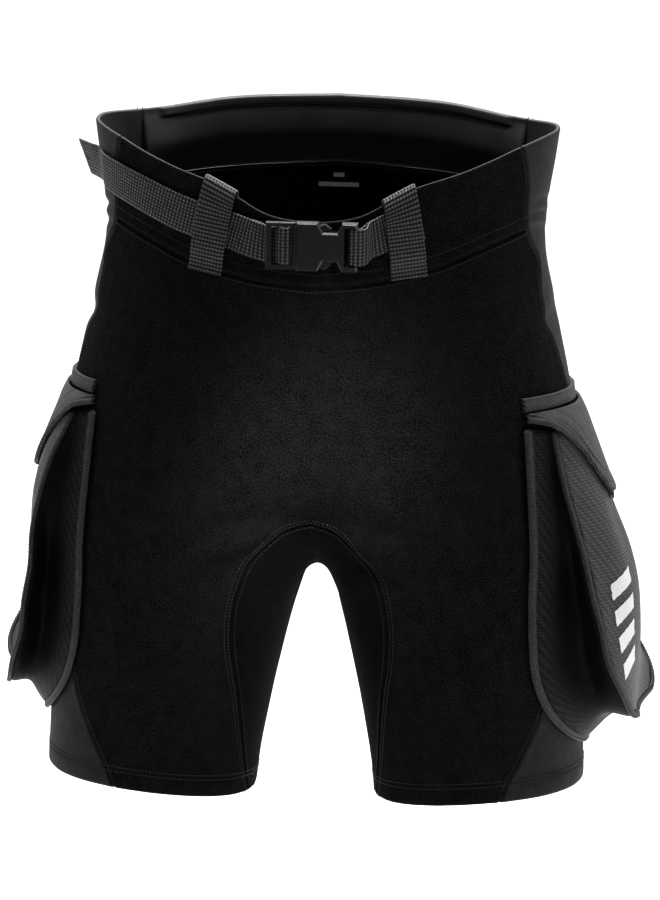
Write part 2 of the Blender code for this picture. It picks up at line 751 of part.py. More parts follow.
def blend_widths(line, still):
    """Strap width direction: upright at the buckle, square to the path on the body."""
    along = tangents(line)
    off = normal(settle(line))
    square = unit(np.cross(along, off))
    square = square * np.sign(square[:, 2:3])
    up = np.array([0.0, 0.0, 1.0])
    share = np.clip((np.abs(line[:, 0] - BUCKLE_X) - still) / 18.0, 0, 1)[:, None]
    return unit(square * share + up * (1 - share))


def make_belt_right():
    """Strap with the free tail: round the plug's bar, through the loop, past the side."""
    tail_root = belt_point(-158.0, 1.9)
    before = belt_point(-152.0, 1.9)
    run = unit(tail_root - before)
    lean = unit(run + np.array([-0.25, -0.35, 0.0]))
    steps = np.array([22.0, 17.0, 11.0, 5.5])
    tail = tail_root + lean * steps[:, None]
    on_body = belt_point([-158, -150, -140, -128, -116, -104, -92, -80, -68, -60, -53], 1.9)
    over = belt_point([-46, -40], [3.9, 5.2])
    bridge = np.array([[-33.0, BUCKLE_Y + 4.3, -55.0], [-28.3, BUCKLE_Y + 4.0, BUCKLE_Z],
                       [-25.3, BUCKLE_Y + 2.4, BUCKLE_Z], [-22.5, BUCKLE_Y - 0.8, BUCKLE_Z],
                       [-20.0, BUCKLE_Y - 3.0, BUCKLE_Z]])
    turn = round_bar(BAR_RIGHT_X, 1.0)
    under = np.array([[-21.0, BUCKLE_Y + 4.6, BUCKLE_Z], [-25.0, BUCKLE_Y + 6.0, BUCKLE_Z],
                      [-31.0, BUCKLE_Y + 6.6, BUCKLE_Z]])
    back = belt_point([-36, -40, -44], 1.7)
    line = np.concatenate([tail, on_body, over, bridge, turn, under, back])
    webbing("belt_right", line, blend_widths(line, 32.0))


def make_belt_left():
    """Short strap from under the left loop, round the socket's bar and back."""
    on_body = belt_point([73, 67, 60, 51.5], 1.9)
    over = belt_point([44.5, 39.5], [3.9, 5.0])
    bridge = np.array([[36.5, BUCKLE_Y - 0.6, BUCKLE_Z + 0.6]])
    turn = round_bar(BAR_LEFT_X, -1.0)
    under = np.array([[32.5, BUCKLE_Y + 5.0, BUCKLE_Z]])
    back = belt_point([37, 43], 1.7)
    line = np.concatenate([on_body, over, bridge, turn, under, back])
    webbing("belt_left", line, blend_widths(line, 36.0))


def make_loop(name, top_x, foot_x):
    """Webbing loop folded over the waistband's edge and sewn down below its seam."""
    rim_x = abs(top_x) + np.array([-12.0, 0.0, 12.0])
    rim_z = through(TOP_TURN, TOP_Z, turn_of(facing(rim_x, -20.0 + 0 * rim_x, -1)))
    top_z = rim_z.mean()
    rim = facing(rim_x, rim_z, -1)
    along_rim = unit(rim[2] - rim[0]) * np.array([1.0, 1.0, np.sign(top_x)])
    along_rim[1] *= np.sign(top_x)
    foot_z = -78.0
    inner = -(WALL + 2.4)
    path = (
        (top_z - 22.0, inner), (top_z - 12.0, inner), (top_z - 2.0, inner),
        (top_z + 2.4, -3.4), (top_z + 2.9, 0.4), (top_z - 1.0, 2.9),
        (top_z - 8.0, 4.3), (top_z - 20.0, 4.7), (top_z - 32.0, 4.7),
        (top_z - 42.0, 4.1), (foot_z + 9.0, 2.4), (foot_z + 5.0, 1.6), (foot_z, 1.6),
    )
    levels = np.array([z for z, _ in path], float)
    lifts = np.array([d for _, d in path], float)
    share = (top_z - levels) / (top_z - foot_z)
    xs = top_x + (foot_x - top_x) * share
    foot = facing(np.abs(xs), np.minimum(levels, top_z - 1.0), -1)
    off = normal(foot)
    line = foot + off * lifts[:, None]
    line[:, 2] = levels
    line[:, 0] *= np.sign(top_x)
    off[:, 0] *= np.sign(top_x)
    run = unit(np.array([foot_x - top_x, 0.0, foot_z - top_z]))
    square = unit(np.cross(off, run))
    square = square * np.sign(square[:, :1])
    settled = np.clip((top_z - levels - 3.0) / 18.0, 0, 1)[:, None]
    settled[:3] = 0
    webbing(name, line, unit(along_rim * (1 - settled) + square * settled))


def slab(name, outline_xz, y_front, y_back, material, chamfer):
    """Plate cut to an outline in x and z, its front edges chamfered."""
    count = len(outline_xz)
    points = [(x, y_front, z) for x, z in outline_xz] + [(x, y_back, z) for x, z in outline_xz]
    faces = [tuple(range(count)), tuple(reversed(range(count, 2 * count)))]
    for i in range(count):
        j = (i + 1) % count
        faces.append((i, j, j + count, i + count))
    obj = make_object(name, points, faces, material)
    form = bmesh.new()
    form.from_mesh(obj.data)
    edges = [e for e in form.edges if all(abs(v.co.y - y_front * MM) < 1e-7 for v in e.verts)]
    bmesh.ops.bevel(form, geom=edges, offset=chamfer * MM, segments=1, affect="EDGES")
    form.to_mesh(obj.data)
    form.free()
    return obj


def cut_box(obj, low, high):
    """Cuts a box-shaped slot or socket out of a solid."""
    xs, ys, zs = zip(low, high)
    points = [(x, y, z) for x in xs for y in ys for z in zs]
    faces = [(0, 1, 3, 2), (4, 6, 7, 5), (0, 4, 5, 1), (2, 3, 7, 6), (0, 2, 6, 4), (1, 5, 7, 3)]
    cutter = make_object(obj.name + "_slot", points, faces, obj.data.materials[0])
    cutter.hide_render = True
    cutter.display_type = "WIRE"
    modifier = obj.modifiers.new("slot", "BOOLEAN")
    modifier.operation = "DIFFERENCE"
    modifier.solver = "EXACT"
    modifier.object = cutter


def make_buckle_plug():
    """Plug half: adjuster frame with its bar, and two springy arms with a guide."""
    c = BUCKLE_Z
    upper = [(-31, 16.2), (-10.8, 16.2), (-10.8, 13.6), (4, 14.2), (9, 15.6), (13.5, 12.4),
             (13.5, 10.6), (8, 10.2), (-6, 10.6), (-6, 2.2), (15, 1.8)]
    shape = [(x, c + z) for x, z in upper] + [(x, c - z) for x, z in reversed(upper)]
    plug = slab("buckle_plug", shape, BUCKLE_Y - 2.4, BUCKLE_Y + 2.2,
                fabric("plastic_plug", (0.02, 0.02, 0.021), 0.35), 0.6)
    cut_box(plug, (-27.2, BUCKLE_Y - 6, c - 13.1), (-19.1, BUCKLE_Y + 6, c + 13.1))
    cut_box(plug, (-15.9, BUCKLE_Y - 6, c - 13.1), (-12.4, BUCKLE_Y + 6, c + 13.1))
    cut_box(plug, (-20.0, BUCKLE_Y - 6, c - 13.1), (-15.0, BUCKLE_Y - 1.4, c + 13.1))
    cut_box(plug, (-20.0, BUCKLE_Y + 1.4, c - 13.1), (-15.0, BUCKLE_Y + 6, c + 13.1))


def make_buckle_socket():
    """Socket half: notched body that takes the plug, and the fixed strap's bar."""
    c = BUCKLE_Z
    upper = [(-10.3, 16.6), (4.5, 16.6), (8.2, 10.0), (17.6, 10.0), (20.8, 16.6), (31.5, 16.6)]
    shape = [(x, c + z) for x, z in upper] + [(x, c - z) for x, z in reversed(upper)]
    socket = slab("buckle_socket", shape, BUCKLE_Y - 4.8, BUCKLE_Y + 4.4,
                  fabric("plastic_socket", (0.02, 0.02, 0.021), 0.35), 1.4)
    cut_box(socket, (-20.0, BUCKLE_Y - 2.9, c - 14.9), (17.0, BUCKLE_Y + 2.7, c + 14.9))
    cut_box(socket, (22.6, BUCKLE_Y - 9, c - 13.1), (27.9, BUCKLE_Y + 9, c + 13.1))
    cut_box(socket, (31.1, BUCKLE_Y - 9, c - 13.1), (40.0, BUCKLE_Y + 9, c + 13.1))
    cut_box(socket, (27.0, BUCKLE_Y - 9, c - 13.1), (33.0, BUCKLE_Y - 1.5, c + 13.1))
    cut_box(socket, (27.0, BUCKLE_Y + 1.5, c - 13.1), (33.0, BUCKLE_Y + 9, c + 13.1))


def build():
    for obj in list(bpy.data.objects):
        bpy.data.objects.remove(obj, do_unlink=True)
    make_body()
    make_pocket(Pocket(1, LEFT_EDGE_X, LEFT_MID_X, 0.0, 0.0, 0.0), "left")
    make_pocket(Pocket(-1, RIGHT_EDGE_X, RIGHT_MID_X, 2.0, 8.0, 7.0), "right")
    make_belt_right()
    make_belt_left()
    make_loop("belt_loop_right", -64.0, -74.0)
    make_loop("belt_loop_left", 58.0, 66.0)
    make_buckle_plug()
    make_buckle_socket()


build()
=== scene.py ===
"""Looks of the neoprene cargo shorts: fine cloth, seams, mesh pockets, belt and buckle.

Lengths are in millimetres and scaled to metres when a mesh is made.  +Z is up, the
front faces -Y, and the origin is the centre of the waist opening, as in the frame.
Every cloth piece is drawn from the same form as its solid in the frame, only finer.
"""
import math

import bmesh
import bpy
import numpy as np
from mathutils import Matrix, Vector


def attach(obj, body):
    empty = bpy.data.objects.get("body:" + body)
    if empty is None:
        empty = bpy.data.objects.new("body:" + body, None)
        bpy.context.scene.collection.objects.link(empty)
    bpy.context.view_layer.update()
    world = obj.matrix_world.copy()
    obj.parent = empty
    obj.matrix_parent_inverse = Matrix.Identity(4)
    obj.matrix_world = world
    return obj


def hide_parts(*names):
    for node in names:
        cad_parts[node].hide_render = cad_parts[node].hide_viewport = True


# Everything in millimetres, except the lamps and the camera at the end, in metres.
MM = 0.001
WALL = 3.0
HEM_WALL = 5.4
SEAM_GAP = 0.3

# The filled form, level by level: two leg tubes that run together above the crotch.
LEVEL = (60, 24, 0, -30, -60, -105, -162, -230, -258, -275, -297, -320, -350, -399, -430, -480)
OUTER = (167, 164, 161, 157, 155.5, 164, 175.5, 184, 187, 188.5, 189.5, 190, 191, 192, 193, 194)
INNER = (-105, -105, -105, -105, -104, -98, -78, -45, -22, -8, 5, 14, 22, 33, 39, 46)
FRONT = (111, 111, 111, 110, 110, 113, 116, 114, 110, 107, 103, 100, 96, 90, 86, 81)
BACK = (111, 111, 112, 115, 118, 127, 135, 135, 130, 126, 118, 110, 102, 94, 89, 84)
BLEND = (24, 24, 24, 24, 24, 26, 30, 34, 30, 26, 20, 18, 18, 18, 18, 18)

# Seams, read by the turn round the leg in degrees: 0 outside, -90 front, +90 back.
TOP_TURN = (-104, -87, -73, -57, -46, -35, -22, 0, 45, 68, 104)
TOP_Z = (-42, -36, -18.5, -7, 1, 8.5, 14, 18, 19, 25, 28.5)
FRONT_BAND_TURN = (-104, -85, -66, -43, -23, -12)
FRONT_BAND_Z = (-86.5, -82, -73, -57.5, -48, -44)
BACK_BAND_TURN = (20, 34, 60, 104)
BACK_BAND_Z = (-34, -32, -27, -21)
SIDE_LEVEL = (60, 10, -11, -56, -69, -97, -128, -160, -200, -260, -320, -367, -393, -417, -440, -480)
SIDE_FRONT_TURN = (-38, -34, -29, -23, -17, -20, -16, -10, -10, -18, -31, -44, -52, -62, -72, -84)
SIDE_BACK_TURN = (34, 33, 31, 27, 26, 23, 20, 18, 18, 22, 30, 38, 44, 50, 56, 64)

HEM_MID = -457.0
HEM_TILT = 8.0
HEM_FRONT_RISE = 5.0

# Gusset seams as x and z on the front and on the back of the form.
ARCH_FRONT_X = (0, 20, 37, 47, 53, 55, 51, 46.5)
ARCH_FRONT_Z = (-256, -262, -279, -296, -315, -340, -387, -464.8)
ARCH_BACK_X = (0, 24, 42, 53, 58, 59, 54, 48)
ARCH_BACK_Z = (-246, -252, -270, -292, -318, -350, -395, -464.6)

# Rows and columns crowd together beside the seams, where the cloth bends most.
EDGE_STEPS = np.array([0, 0.5, 1.0, 1.6, 2.3, 3.0, 3.8, 4.7, 5.8, 7.2, 9.0])
# Shares of a column's length in the waistband, above the fork and down the inner leg.
BAND_SPAN = 3.0
CENTRE_SPAN = 8.0
ARCH_SPAN = 10.0


def spread(columns, width, first=True, last=True):
    """Shares from 0 to 1, close together at the edges of a strip of the given width."""
    edge = EDGE_STEPS / width
    low = edge[-1] if first else 0.0
    high = 1.0 - edge[-1] if last else 1.0
    middle = np.linspace(low, high, columns)
    start = edge[:-1] if first else []
    end = 1.0 - edge[-2::-1] if last else []
    return np.concatenate([start, middle, end])


BAND_ROW = BAND_SPAN * spread(14, 44.0)
CENTRE_ROW = CENTRE_SPAN * spread(52, 170.0, last=False)
ARCH_ROW = ARCH_SPAN * spread(66, 235.0, first=False)
BODY_ROW = np.concatenate([CENTRE_ROW, CENTRE_SPAN + ARCH_ROW[1:]])
CENTRE_ROWS = len(CENTRE_ROW) - 1
HEM_LIFTS = np.array([14.0, 13.5, 13.0, 12.2, 11.2, 10.0, 8.4, 6.6, 4.8, 3.2, 2.0, 1.1, 0.5, 0.0])
PANEL_STEPS = spread(46, 170.0)
SIDE_STEPS = spread(26, 115.0)
GUSSET_STEPS = spread(40, 150.0)


def through(table_x, table_y, x):
    """Smooth curve through a table's points, read at x."""
    xs = np.asarray(table_x, float)
    ys = np.asarray(table_y, float)
    if xs[0] > xs[-1]:
        xs = xs[::-1]
        ys = ys[::-1]
    slope = np.gradient(ys, xs)
    x = np.clip(x, xs[0], xs[-1])
    i = np.clip(np.searchsorted(xs, x) - 1, 0, len(xs) - 2)
    width = xs[i + 1] - xs[i]
    f = (x - xs[i]) / width
    rise = (ys[i + 1] - ys[i]) * f * f * (3 - 2 * f)
    bend = width * f * (1 - f) * (slope[i] * (1 - f) - slope[i + 1] * f)
    return ys[i] + rise + bend


def tube(z):
    """Centre, half width, front depth, back depth and blend of a leg tube."""
    outer = through(LEVEL, OUTER, z)
    inner = through(LEVEL, INNER, z)
    front = through(LEVEL, FRONT, z)
    back = through(LEVEL, BACK, z)
    blend = through(LEVEL, BLEND, z)
    return (outer + inner) / 2, (outer - inner) / 2, front, back, blend


def field(p):
    """Negative inside the filled form, positive outside."""
    centre, half, front, back, blend = tube(p[..., 2])
    depth = np.where(p[..., 1] < 0, front, back)
    x = np.abs(p[..., 0])
    q = (p[..., 1] / depth) ** 2
    near = (np.sqrt(((x - centre) / half) ** 2 + q) - 1) * half
    far = (np.sqrt(((x + centre) / half) ** 2 + q) - 1) * half
    h = np.clip(blend - np.abs(near - far), 0, None) / blend
    return np.minimum(near, far) - h * h * blend / 4


def gradient(p, step=0.4):
    out = np.empty(p.shape)
    for axis in range(3):
        shift = np.zeros(3)
        shift[axis] = step
        out[..., axis] = (field(p + shift) - field(p - shift)) / (2 * step)
    return out


def unit(v):
    return v / np.linalg.norm(v, axis=-1, keepdims=True)


def normal(p):
    return unit(gradient(p))


def cast(origin, direction, reach):
    """Point where a ray from inside leaves the form."""
    low = np.zeros(direction.shape[:-1])
    high = np.broadcast_to(np.asarray(reach, float), low.shape).copy()
    for _ in range(30):
        mid = (low + high) / 2
        inside = field(origin + direction * mid[..., None]) < 0
        low = np.where(inside, mid, low)
        high = np.where(inside, high, mid)
    return origin + direction * low[..., None]


def settle(p):
    """Draws points near the form onto it."""
    for _ in range(5):
        g = gradient(p)
        p = p - g * (field(p) / np.sum(g * g, axis=-1))[..., None]
    return p


def stack(x, y, z):
    return np.stack(np.broadcast_arrays(np.asarray(x, float), y, z), axis=-1)


def wall_point(turn, z):
    """Point of the right half of the form at a turn round the leg and a level."""
    centre, half, front, back, _ = tube(z)
    angle = np.radians(turn)
    depth = np.where(angle < 0, front, back)
    direction = stack(half * np.cos(angle), depth * np.sin(angle), 0 * z)
    inward = np.minimum(direction[..., 0], -1e-6)
    reach = np.where(direction[..., 0] < -1e-6, np.minimum(1.4, -centre / inward), 1.4)
    return cast(stack(centre, 0 * z, z), direction, reach)


def turn_of(p):
    centre, half, front, back, _ = tube(p[..., 2])
    depth = np.where(p[..., 1] < 0, front, back)
    return np.degrees(np.arctan2(p[..., 1] / depth, (p[..., 0] - centre) / half))


def facing(x, z, way):
    """Point on the front (way -1) or back (way +1) of the form at x and z."""
    origin = stack(x, 0 * np.asarray(z, float), z)
    return cast(origin, np.broadcast_to([0.0, way, 0.0], origin.shape), 180.0)


def beside(y, z):
    """Point on the outer side of the right leg at y and z."""
    z = np.asarray(z, float)
    origin = stack(tube(z)[0], y, z)
    return cast(origin, np.broadcast_to([1.0, 0.0, 0.0], origin.shape), 180.0)


def centre_turn(z, way):
    return turn_of(facing(0.0 * z, z, way))


def hem_z(turn, lift):
    """Level of the hem, which climbs to the outside and a little at the front."""
    angle = np.radians(turn)
    front = np.clip(-np.sin(angle), 0, None) ** 2
    return HEM_MID + HEM_TILT * np.cos(angle) + HEM_FRONT_RISE * front + lift


def arch(way):
    """Gusset seam of one leg, from the crotch centre to the hem, as points."""
    xs, zs = (ARCH_FRONT_X, ARCH_FRONT_Z) if way < 0 else (ARCH_BACK_X, ARCH_BACK_Z)
    knots = np.concatenate([[0], np.cumsum(np.hypot(np.diff(xs), np.diff(zs)))])
    fine = np.linspace(0, knots[-1], 400)
    line = facing(through(knots, xs, fine), through(knots, zs, fine), way)
    lift = line[:, 2] - hem_z(turn_of(line), 0)
    length = np.concatenate([[0], np.cumsum(np.linalg.norm(np.diff(line, axis=0), axis=1))])
    at_hem = [np.interp(-wanted, -lift, length) for wanted in HEM_LIFTS]
    rows = np.concatenate([at_hem[0] * ARCH_ROW / ARCH_SPAN, at_hem[1:]])
    return np.stack([np.interp(rows, length, line[:, i]) for i in range(3)], axis=1)


def band_z(turn, way):
    if way < 0:
        return through(FRONT_BAND_TURN, FRONT_BAND_Z, turn)
    return through(BACK_BAND_TURN, BACK_BAND_Z, turn)


def side_turn(z, way):
    return through(SIDE_LEVEL, SIDE_FRONT_TURN if way < 0 else SIDE_BACK_TURN, z)


def side_rows(way):
    """Turn and level of the side seam at every row, waist edge to hem."""
    top = np.float64(0)
    foot = np.float64(0)
    for _ in range(8):
        top = through(TOP_TURN, TOP_Z, side_turn(top, way))
        foot = band_z(side_turn(foot, way), way)
    hem = []
    for lift in HEM_LIFTS:
        z = HEM_MID + lift
        for _ in range(8):
            z = hem_z(side_turn(z, way), lift)
        hem.append(z)
    band = top + (foot - top) * BAND_ROW / BAND_SPAN
    body = foot + (hem[0] - foot) * BODY_ROW / (CENTRE_SPAN + ARCH_SPAN)
    levels = np.concatenate([band, body[1:], hem[1:]])
    return side_turn(levels, way), levels


def band_grid(way, drop, steps):
    """Waistband on the right half: rows of drop 0..1, columns from centre to side."""
    drop = np.asarray(drop, float)[:, None]
    across = steps[None, :]
    end = side_turn(np.float64(0), way)
    turn = way * 102.0 * (1 - across) + end * across + 0 * drop
    for _ in range(6):
        top = through(TOP_TURN, TOP_Z, turn)
        z = top + (band_z(turn, way) - top) * drop
        turn = centre_turn(z, way) * (1 - across) + side_turn(z, way) * across
    grid = wall_point(turn, z)
    grid[:, 0, 0] = 0
    return grid


def leg_rows(way):
    """Inner boundary of a front or back half, band seam down the centre to the hem."""
    line = arch(way)
    start = band_grid(way, [1.0], PANEL_STEPS)[0, 0]
    levels = start[2] + (line[0, 2] - start[2]) * CENTRE_ROW[:-1] / CENTRE_SPAN
    return np.concatenate([facing(0 * levels, levels, way), line])


def bow_hem(turn, z, rows, before_arch):
    """Bends the lower rows so that the last ones follow the hem."""
    lifts = HEM_LIFTS[:, None]
    count = len(HEM_LIFTS)
    bow = hem_z(turn[-count:], lifts) - z[-count:]
    grow = np.clip((rows[:-count + 1] - before_arch) / ARCH_SPAN, 0, 1)[:-1, None] ** 2
    z[:-count] += bow[0][None, :] * grow
    z[-count:] += bow
    return z


def panel_grid(way):
    """Front or back half: rows from band seam to hem, columns from inside to side."""
    inner = leg_rows(way)
    turn_in = turn_of(inner)
    z_in = inner[:, 2]
    turn_out, z_out = side_rows(way)
    turn_out = turn_out[len(BAND_ROW) - 1:]
    z_out = z_out[len(BAND_ROW) - 1:]
    across = PANEL_STEPS[None, :]
    turn = turn_in[:, None] * (1 - across) + turn_out[:, None] * across
    z = z_in[:, None] * (1 - across) + z_out[:, None] * across
    band = band_grid(way, [1.0], PANEL_STEPS)[0]
    rows = np.concatenate([BODY_ROW, np.full(len(HEM_LIFTS) - 1, BODY_ROW[-1])])
    fade = np.clip(1 - rows / (CENTRE_SPAN + 2), 0, 1)[:, None] ** 2
    z = z + (band[:, 2] - z[0])[None, :] * fade
    turn = turn + (turn_of(band) - turn[0])[None, :] * fade
    z = bow_hem(turn, z, rows, CENTRE_SPAN)
    grid = wall_point(turn, z)
    grid[:CENTRE_ROWS + 1, 0, 0] = 0
    return grid


def side_grid():
    turn_a, z_a = side_rows(-1)
    turn_b, z_b = side_rows(1)
    across = SIDE_STEPS[None, :]
    turn = turn_a[:, None] * (1 - across) + turn_b[:, None] * across
    z = z_a[:, None] * (1 - across) + z_b[:, None] * across
    top = through(TOP_TURN, TOP_Z, turn[0])
    hem = np.full(len(HEM_LIFTS) - 1, BAND_SPAN + BODY_ROW[-1])
    rows = np.concatenate([BAND_ROW, BAND_SPAN + BODY_ROW[1:], hem])
    z = z + (top - z[0])[None, :] * np.clip(1 - rows / (BAND_SPAN + 1), 0, 1)[:, None]
    z = bow_hem(turn, z, rows, BAND_SPAN + CENTRE_SPAN)
    return wall_point(turn, z)


def gusset_grid():
    """Half gusset: rows from the crotch centre to the hem, columns front to back."""
    front = arch(-1)
    back = arch(1)
    run = np.concatenate([[0], np.cumsum(np.linalg.norm(np.diff(front, axis=0), axis=1))])
    w = np.clip(run / 105.0, 0, 1)
    w = w * w * (3 - 2 * w)
    level = (front[:, 2] + back[:, 2]) / 2
    centre = tube(level)[0]
    eye = stack(centre * w, 0 * w, level + 42.0 * (1 - w))
    crotch = cast(np.array([0.0, 0.0, -215.0]), np.array([0.0, 0.0, -1.0]), 110.0)
    under = np.minimum(level, crotch[2] - 12.0)
    low_centre, low_half, _, _, _ = tube(under)
    inside = stack(low_centre - low_half, 0 * w, under)
    middle = crotch * (1 - w)[:, None] + inside * w[:, None]
    steer = 2 * middle - (front + back) / 2
    f = GUSSET_STEPS[None, :, None]
    aim = (front[:, None] * (1 - f) ** 2 + steer[:, None] * 2 * f * (1 - f)
           + back[:, None] * f * f)
    direction = aim - eye[:, None]
    towards = np.minimum(direction[..., 0], -1e-6)
    limit = np.where(direction[..., 0] < -1e-6, -eye[:, None, 0] / towards, 9.0)
    grid = cast(eye[:, None] + 0 * aim, direction, np.minimum(limit, 1.9))
    rows = len(HEM_LIFTS)
    turn = turn_of(grid[-rows:])
    grid[-rows:] = wall_point(turn, hem_z(turn, HEM_LIFTS[:, None]))
    grid[:, 0] = front
    grid[:, -1] = back
    grid[0, :, 0] = 0
    return grid




# Soft creases: ends of each in x, y, z, then how deep and how wide it is.  A negative
# depth is a ridge.  They gather at the fork, at the hips and above the hems.
CREASES = (
    ((16, -112, -262), (112, -104, -296), -3.0, 9.0),
    ((20, -112, -250), (128, -100, -272), 2.4, 11.0),
    ((30, -110, -282), (118, -98, -326), 2.6, 10.0),
    ((-18, -112, -262), (-116, -104, -282), -2.4, 9.0),
    ((-26, -110, -276), (-112, -100, -306), 2.2, 10.0),
    ((-14, -112, -248), (-104, -106, -256), 1.6, 11.0),
    ((-4, -114, -236), (22, -114, -160), 1.2, 13.0),
    ((60, -100, -330), (128, -92, -346), 1.3, 12.0),
    ((-60, -100, -340), (-120, -92, -352), 1.2, 12.0),
    ((150, -50, -118), (176, 10, -108), 1.8, 7.0),
    ((-150, -50, -112), (-174, 20, -122), 1.8, 8.0),
    ((120, -86, -92), (158, -44, -74), 1.2, 10.0),
    ((-120, -86, -96), (-158, -44, -80), 1.2, 10.0),
    ((10, 132, -246), (108, 118, -286), -2.8, 10.0),
    ((18, 134, -230), (122, 120, -262), 2.6, 11.0),
    ((-12, 132, -250), (-104, 118, -292), -2.6, 10.0),
    ((-20, 134, -234), (-118, 120, -266), 2.4, 11.0),
    ((34, 122, -280), (112, 110, -322), 2.2, 10.0),
    ((-36, 122, -284), (-108, 110, -326), 2.2, 10.0),
    ((20, 120, -66), (96, 106, -52), 1.6, 10.0),
    ((-30, 120, -62), (-104, 104, -54), 1.5, 10.0),
    ((2, 135, -150), (4, 136, -225), 1.4, 12.0),
    ((60, 104, -330), (118, 100, -352), 1.4, 11.0),
    ((-58, 104, -336), (-114, 100, -350), 1.4, 11.0),
    ((12, 10, -290), (26, -24, -318), 1.6, 8.0),
    ((-12, 12, -290), (-28, -20, -322), 1.6, 8.0),
    ((14, -30, -286), (30, 30, -300), -1.6, 8.0),
    ((-14, -30, -286), (-30, 30, -300), -1.6, 8.0),
)
# Short pinches where the knit side bends in at the waist, on the wearer's left and right.
PINCHES = (
    ((152, -44, -29), (163, 8, -33), 1.5, 3.2),
    ((150, -46, -38), (162, 2, -42), 1.3, 2.8),
    ((152, -44, -48), (160, 6, -54), 1.1, 3.4),
    ((-152, -42, -40), (-160, 6, -44), 1.2, 3.2),
    ((-150, -44, -52), (-160, 4, -55), 1.1, 3.4),
    ((150, 52, -30), (142, 78, -36), 1.2, 3.4),
    ((-150, 52, -34), (-140, 78, -38), 1.2, 3.4),
)

# All creases are deepened by one factor.  A crease's ends lie under the cloth, so the
# distance into the body counts only in part.
FOLD_DEPTH = 1.8
INWARD = 0.3


def creases(p):
    """How far the listed folds move points of the form, outward positive."""
    moved = np.zeros(p.shape[:-1])
    for start, end, depth, width in CREASES + PINCHES:
        a = np.array(start, float)
        run = np.array(end, float) - a
        share = np.clip(((p - a) @ run) / (run @ run), 0, 1)
        across_body = abs(run[0]) > abs(run[1])
        weight = np.array([1.0, INWARD, 1.0] if across_body else [INWARD, 1.0, 1.0])
        away = np.linalg.norm((p - a - share[..., None] * run) * weight, axis=-1)
        fade = np.sin(np.pi * np.clip(share, 0.03, 0.97)) ** 0.6
        moved -= FOLD_DEPTH * depth * fade * np.exp(-(away / width) ** 2)
    return moved


def uneven(p):
    """Broad, slight unevenness of cloth that is held out by no body."""
    x, y, z = p[..., 0], p[..., 1], p[..., 2]
    broad = np.sin(x / 31 + 1.3) * np.sin(z / 37 + 0.4) + np.sin(y / 23 - z / 41 + 2.1)
    close = np.sin(x / 11.3 + z / 14.1) * np.sin(y / 12.7 - z / 17.9 + 1.0)
    return 0.35 * broad + 0.12 * close


def lengths(grid, axis):
    """Running length along the rows (axis 1) or the columns (axis 0) of a grid."""
    step = np.linalg.norm(np.diff(grid, axis=axis), axis=-1)
    total = np.cumsum(step, axis=axis)
    pad = [(0, 0), (0, 0)]
    pad[axis] = (1, 0)
    return np.pad(total, pad)


def from_edge(grid, edge):
    """Distance of every grid point from one edge of its panel."""
    if edge == "first":
        return lengths(grid, 1)
    if edge == "last":
        run = lengths(grid, 1)
        return run[:, -1:] - run
    if edge == "top":
        return lengths(grid, 0)
    run = lengths(grid, 0)
    return run[-1:] - run


SEAM_ROW = 2.7
HEM_ROWS = (13.0, 16.2)


def seam_relief(away):
    """Cloth beside a flat seam: rolled into the join, raised, and dimpled by stitching."""
    moved = -1.1 * np.exp(-(away / 0.9) ** 2)
    moved += 0.4 * np.clip(away / 1.5, 0, 1) * np.exp(-(away / 5.0) ** 4)
    return moved - 0.25 * np.exp(-((away - SEAM_ROW) / 0.6) ** 2)


def rim_relief(away):
    """Rounded corner of a cut neoprene edge."""
    return -0.9 * np.exp(-(away / 0.6) ** 2)


def mirrored(grid):
    return grid * np.array([-1.0, 1.0, 1.0])


def cloth_uv(grid):
    """Texture place of each point in millimetres of cloth, across and down."""
    across = lengths(grid, 1)
    down = lengths(grid, 0).mean(axis=1, keepdims=True) + 0 * across
    return np.stack([across, -down], axis=-1)


def add_mesh(name, points, faces, face_slots, uv, materials):
    """Mesh object in metres with smooth faces, one UV map and its material slots."""
    mesh = bpy.data.meshes.new(name)
    mesh.from_pydata((np.asarray(points, float) * MM).tolist(), [], faces)
    mesh.polygons.foreach_set("material_index", np.asarray(face_slots, np.int32))
    mesh.polygons.foreach_set("use_smooth", np.ones(len(faces), bool))
    corners = np.empty(len(mesh.loops), np.int32)
    mesh.loops.foreach_get("vertex_index", corners)
    layer = mesh.uv_layers.new(name="cloth")
    layer.data.foreach_set("uv", (np.asarray(uv, float) * MM)[corners].ravel())
    for material in materials:
        mesh.materials.append(material)
    obj = bpy.data.objects.new(name, mesh)
    bpy.context.scene.collection.objects.link(obj)
    return obj


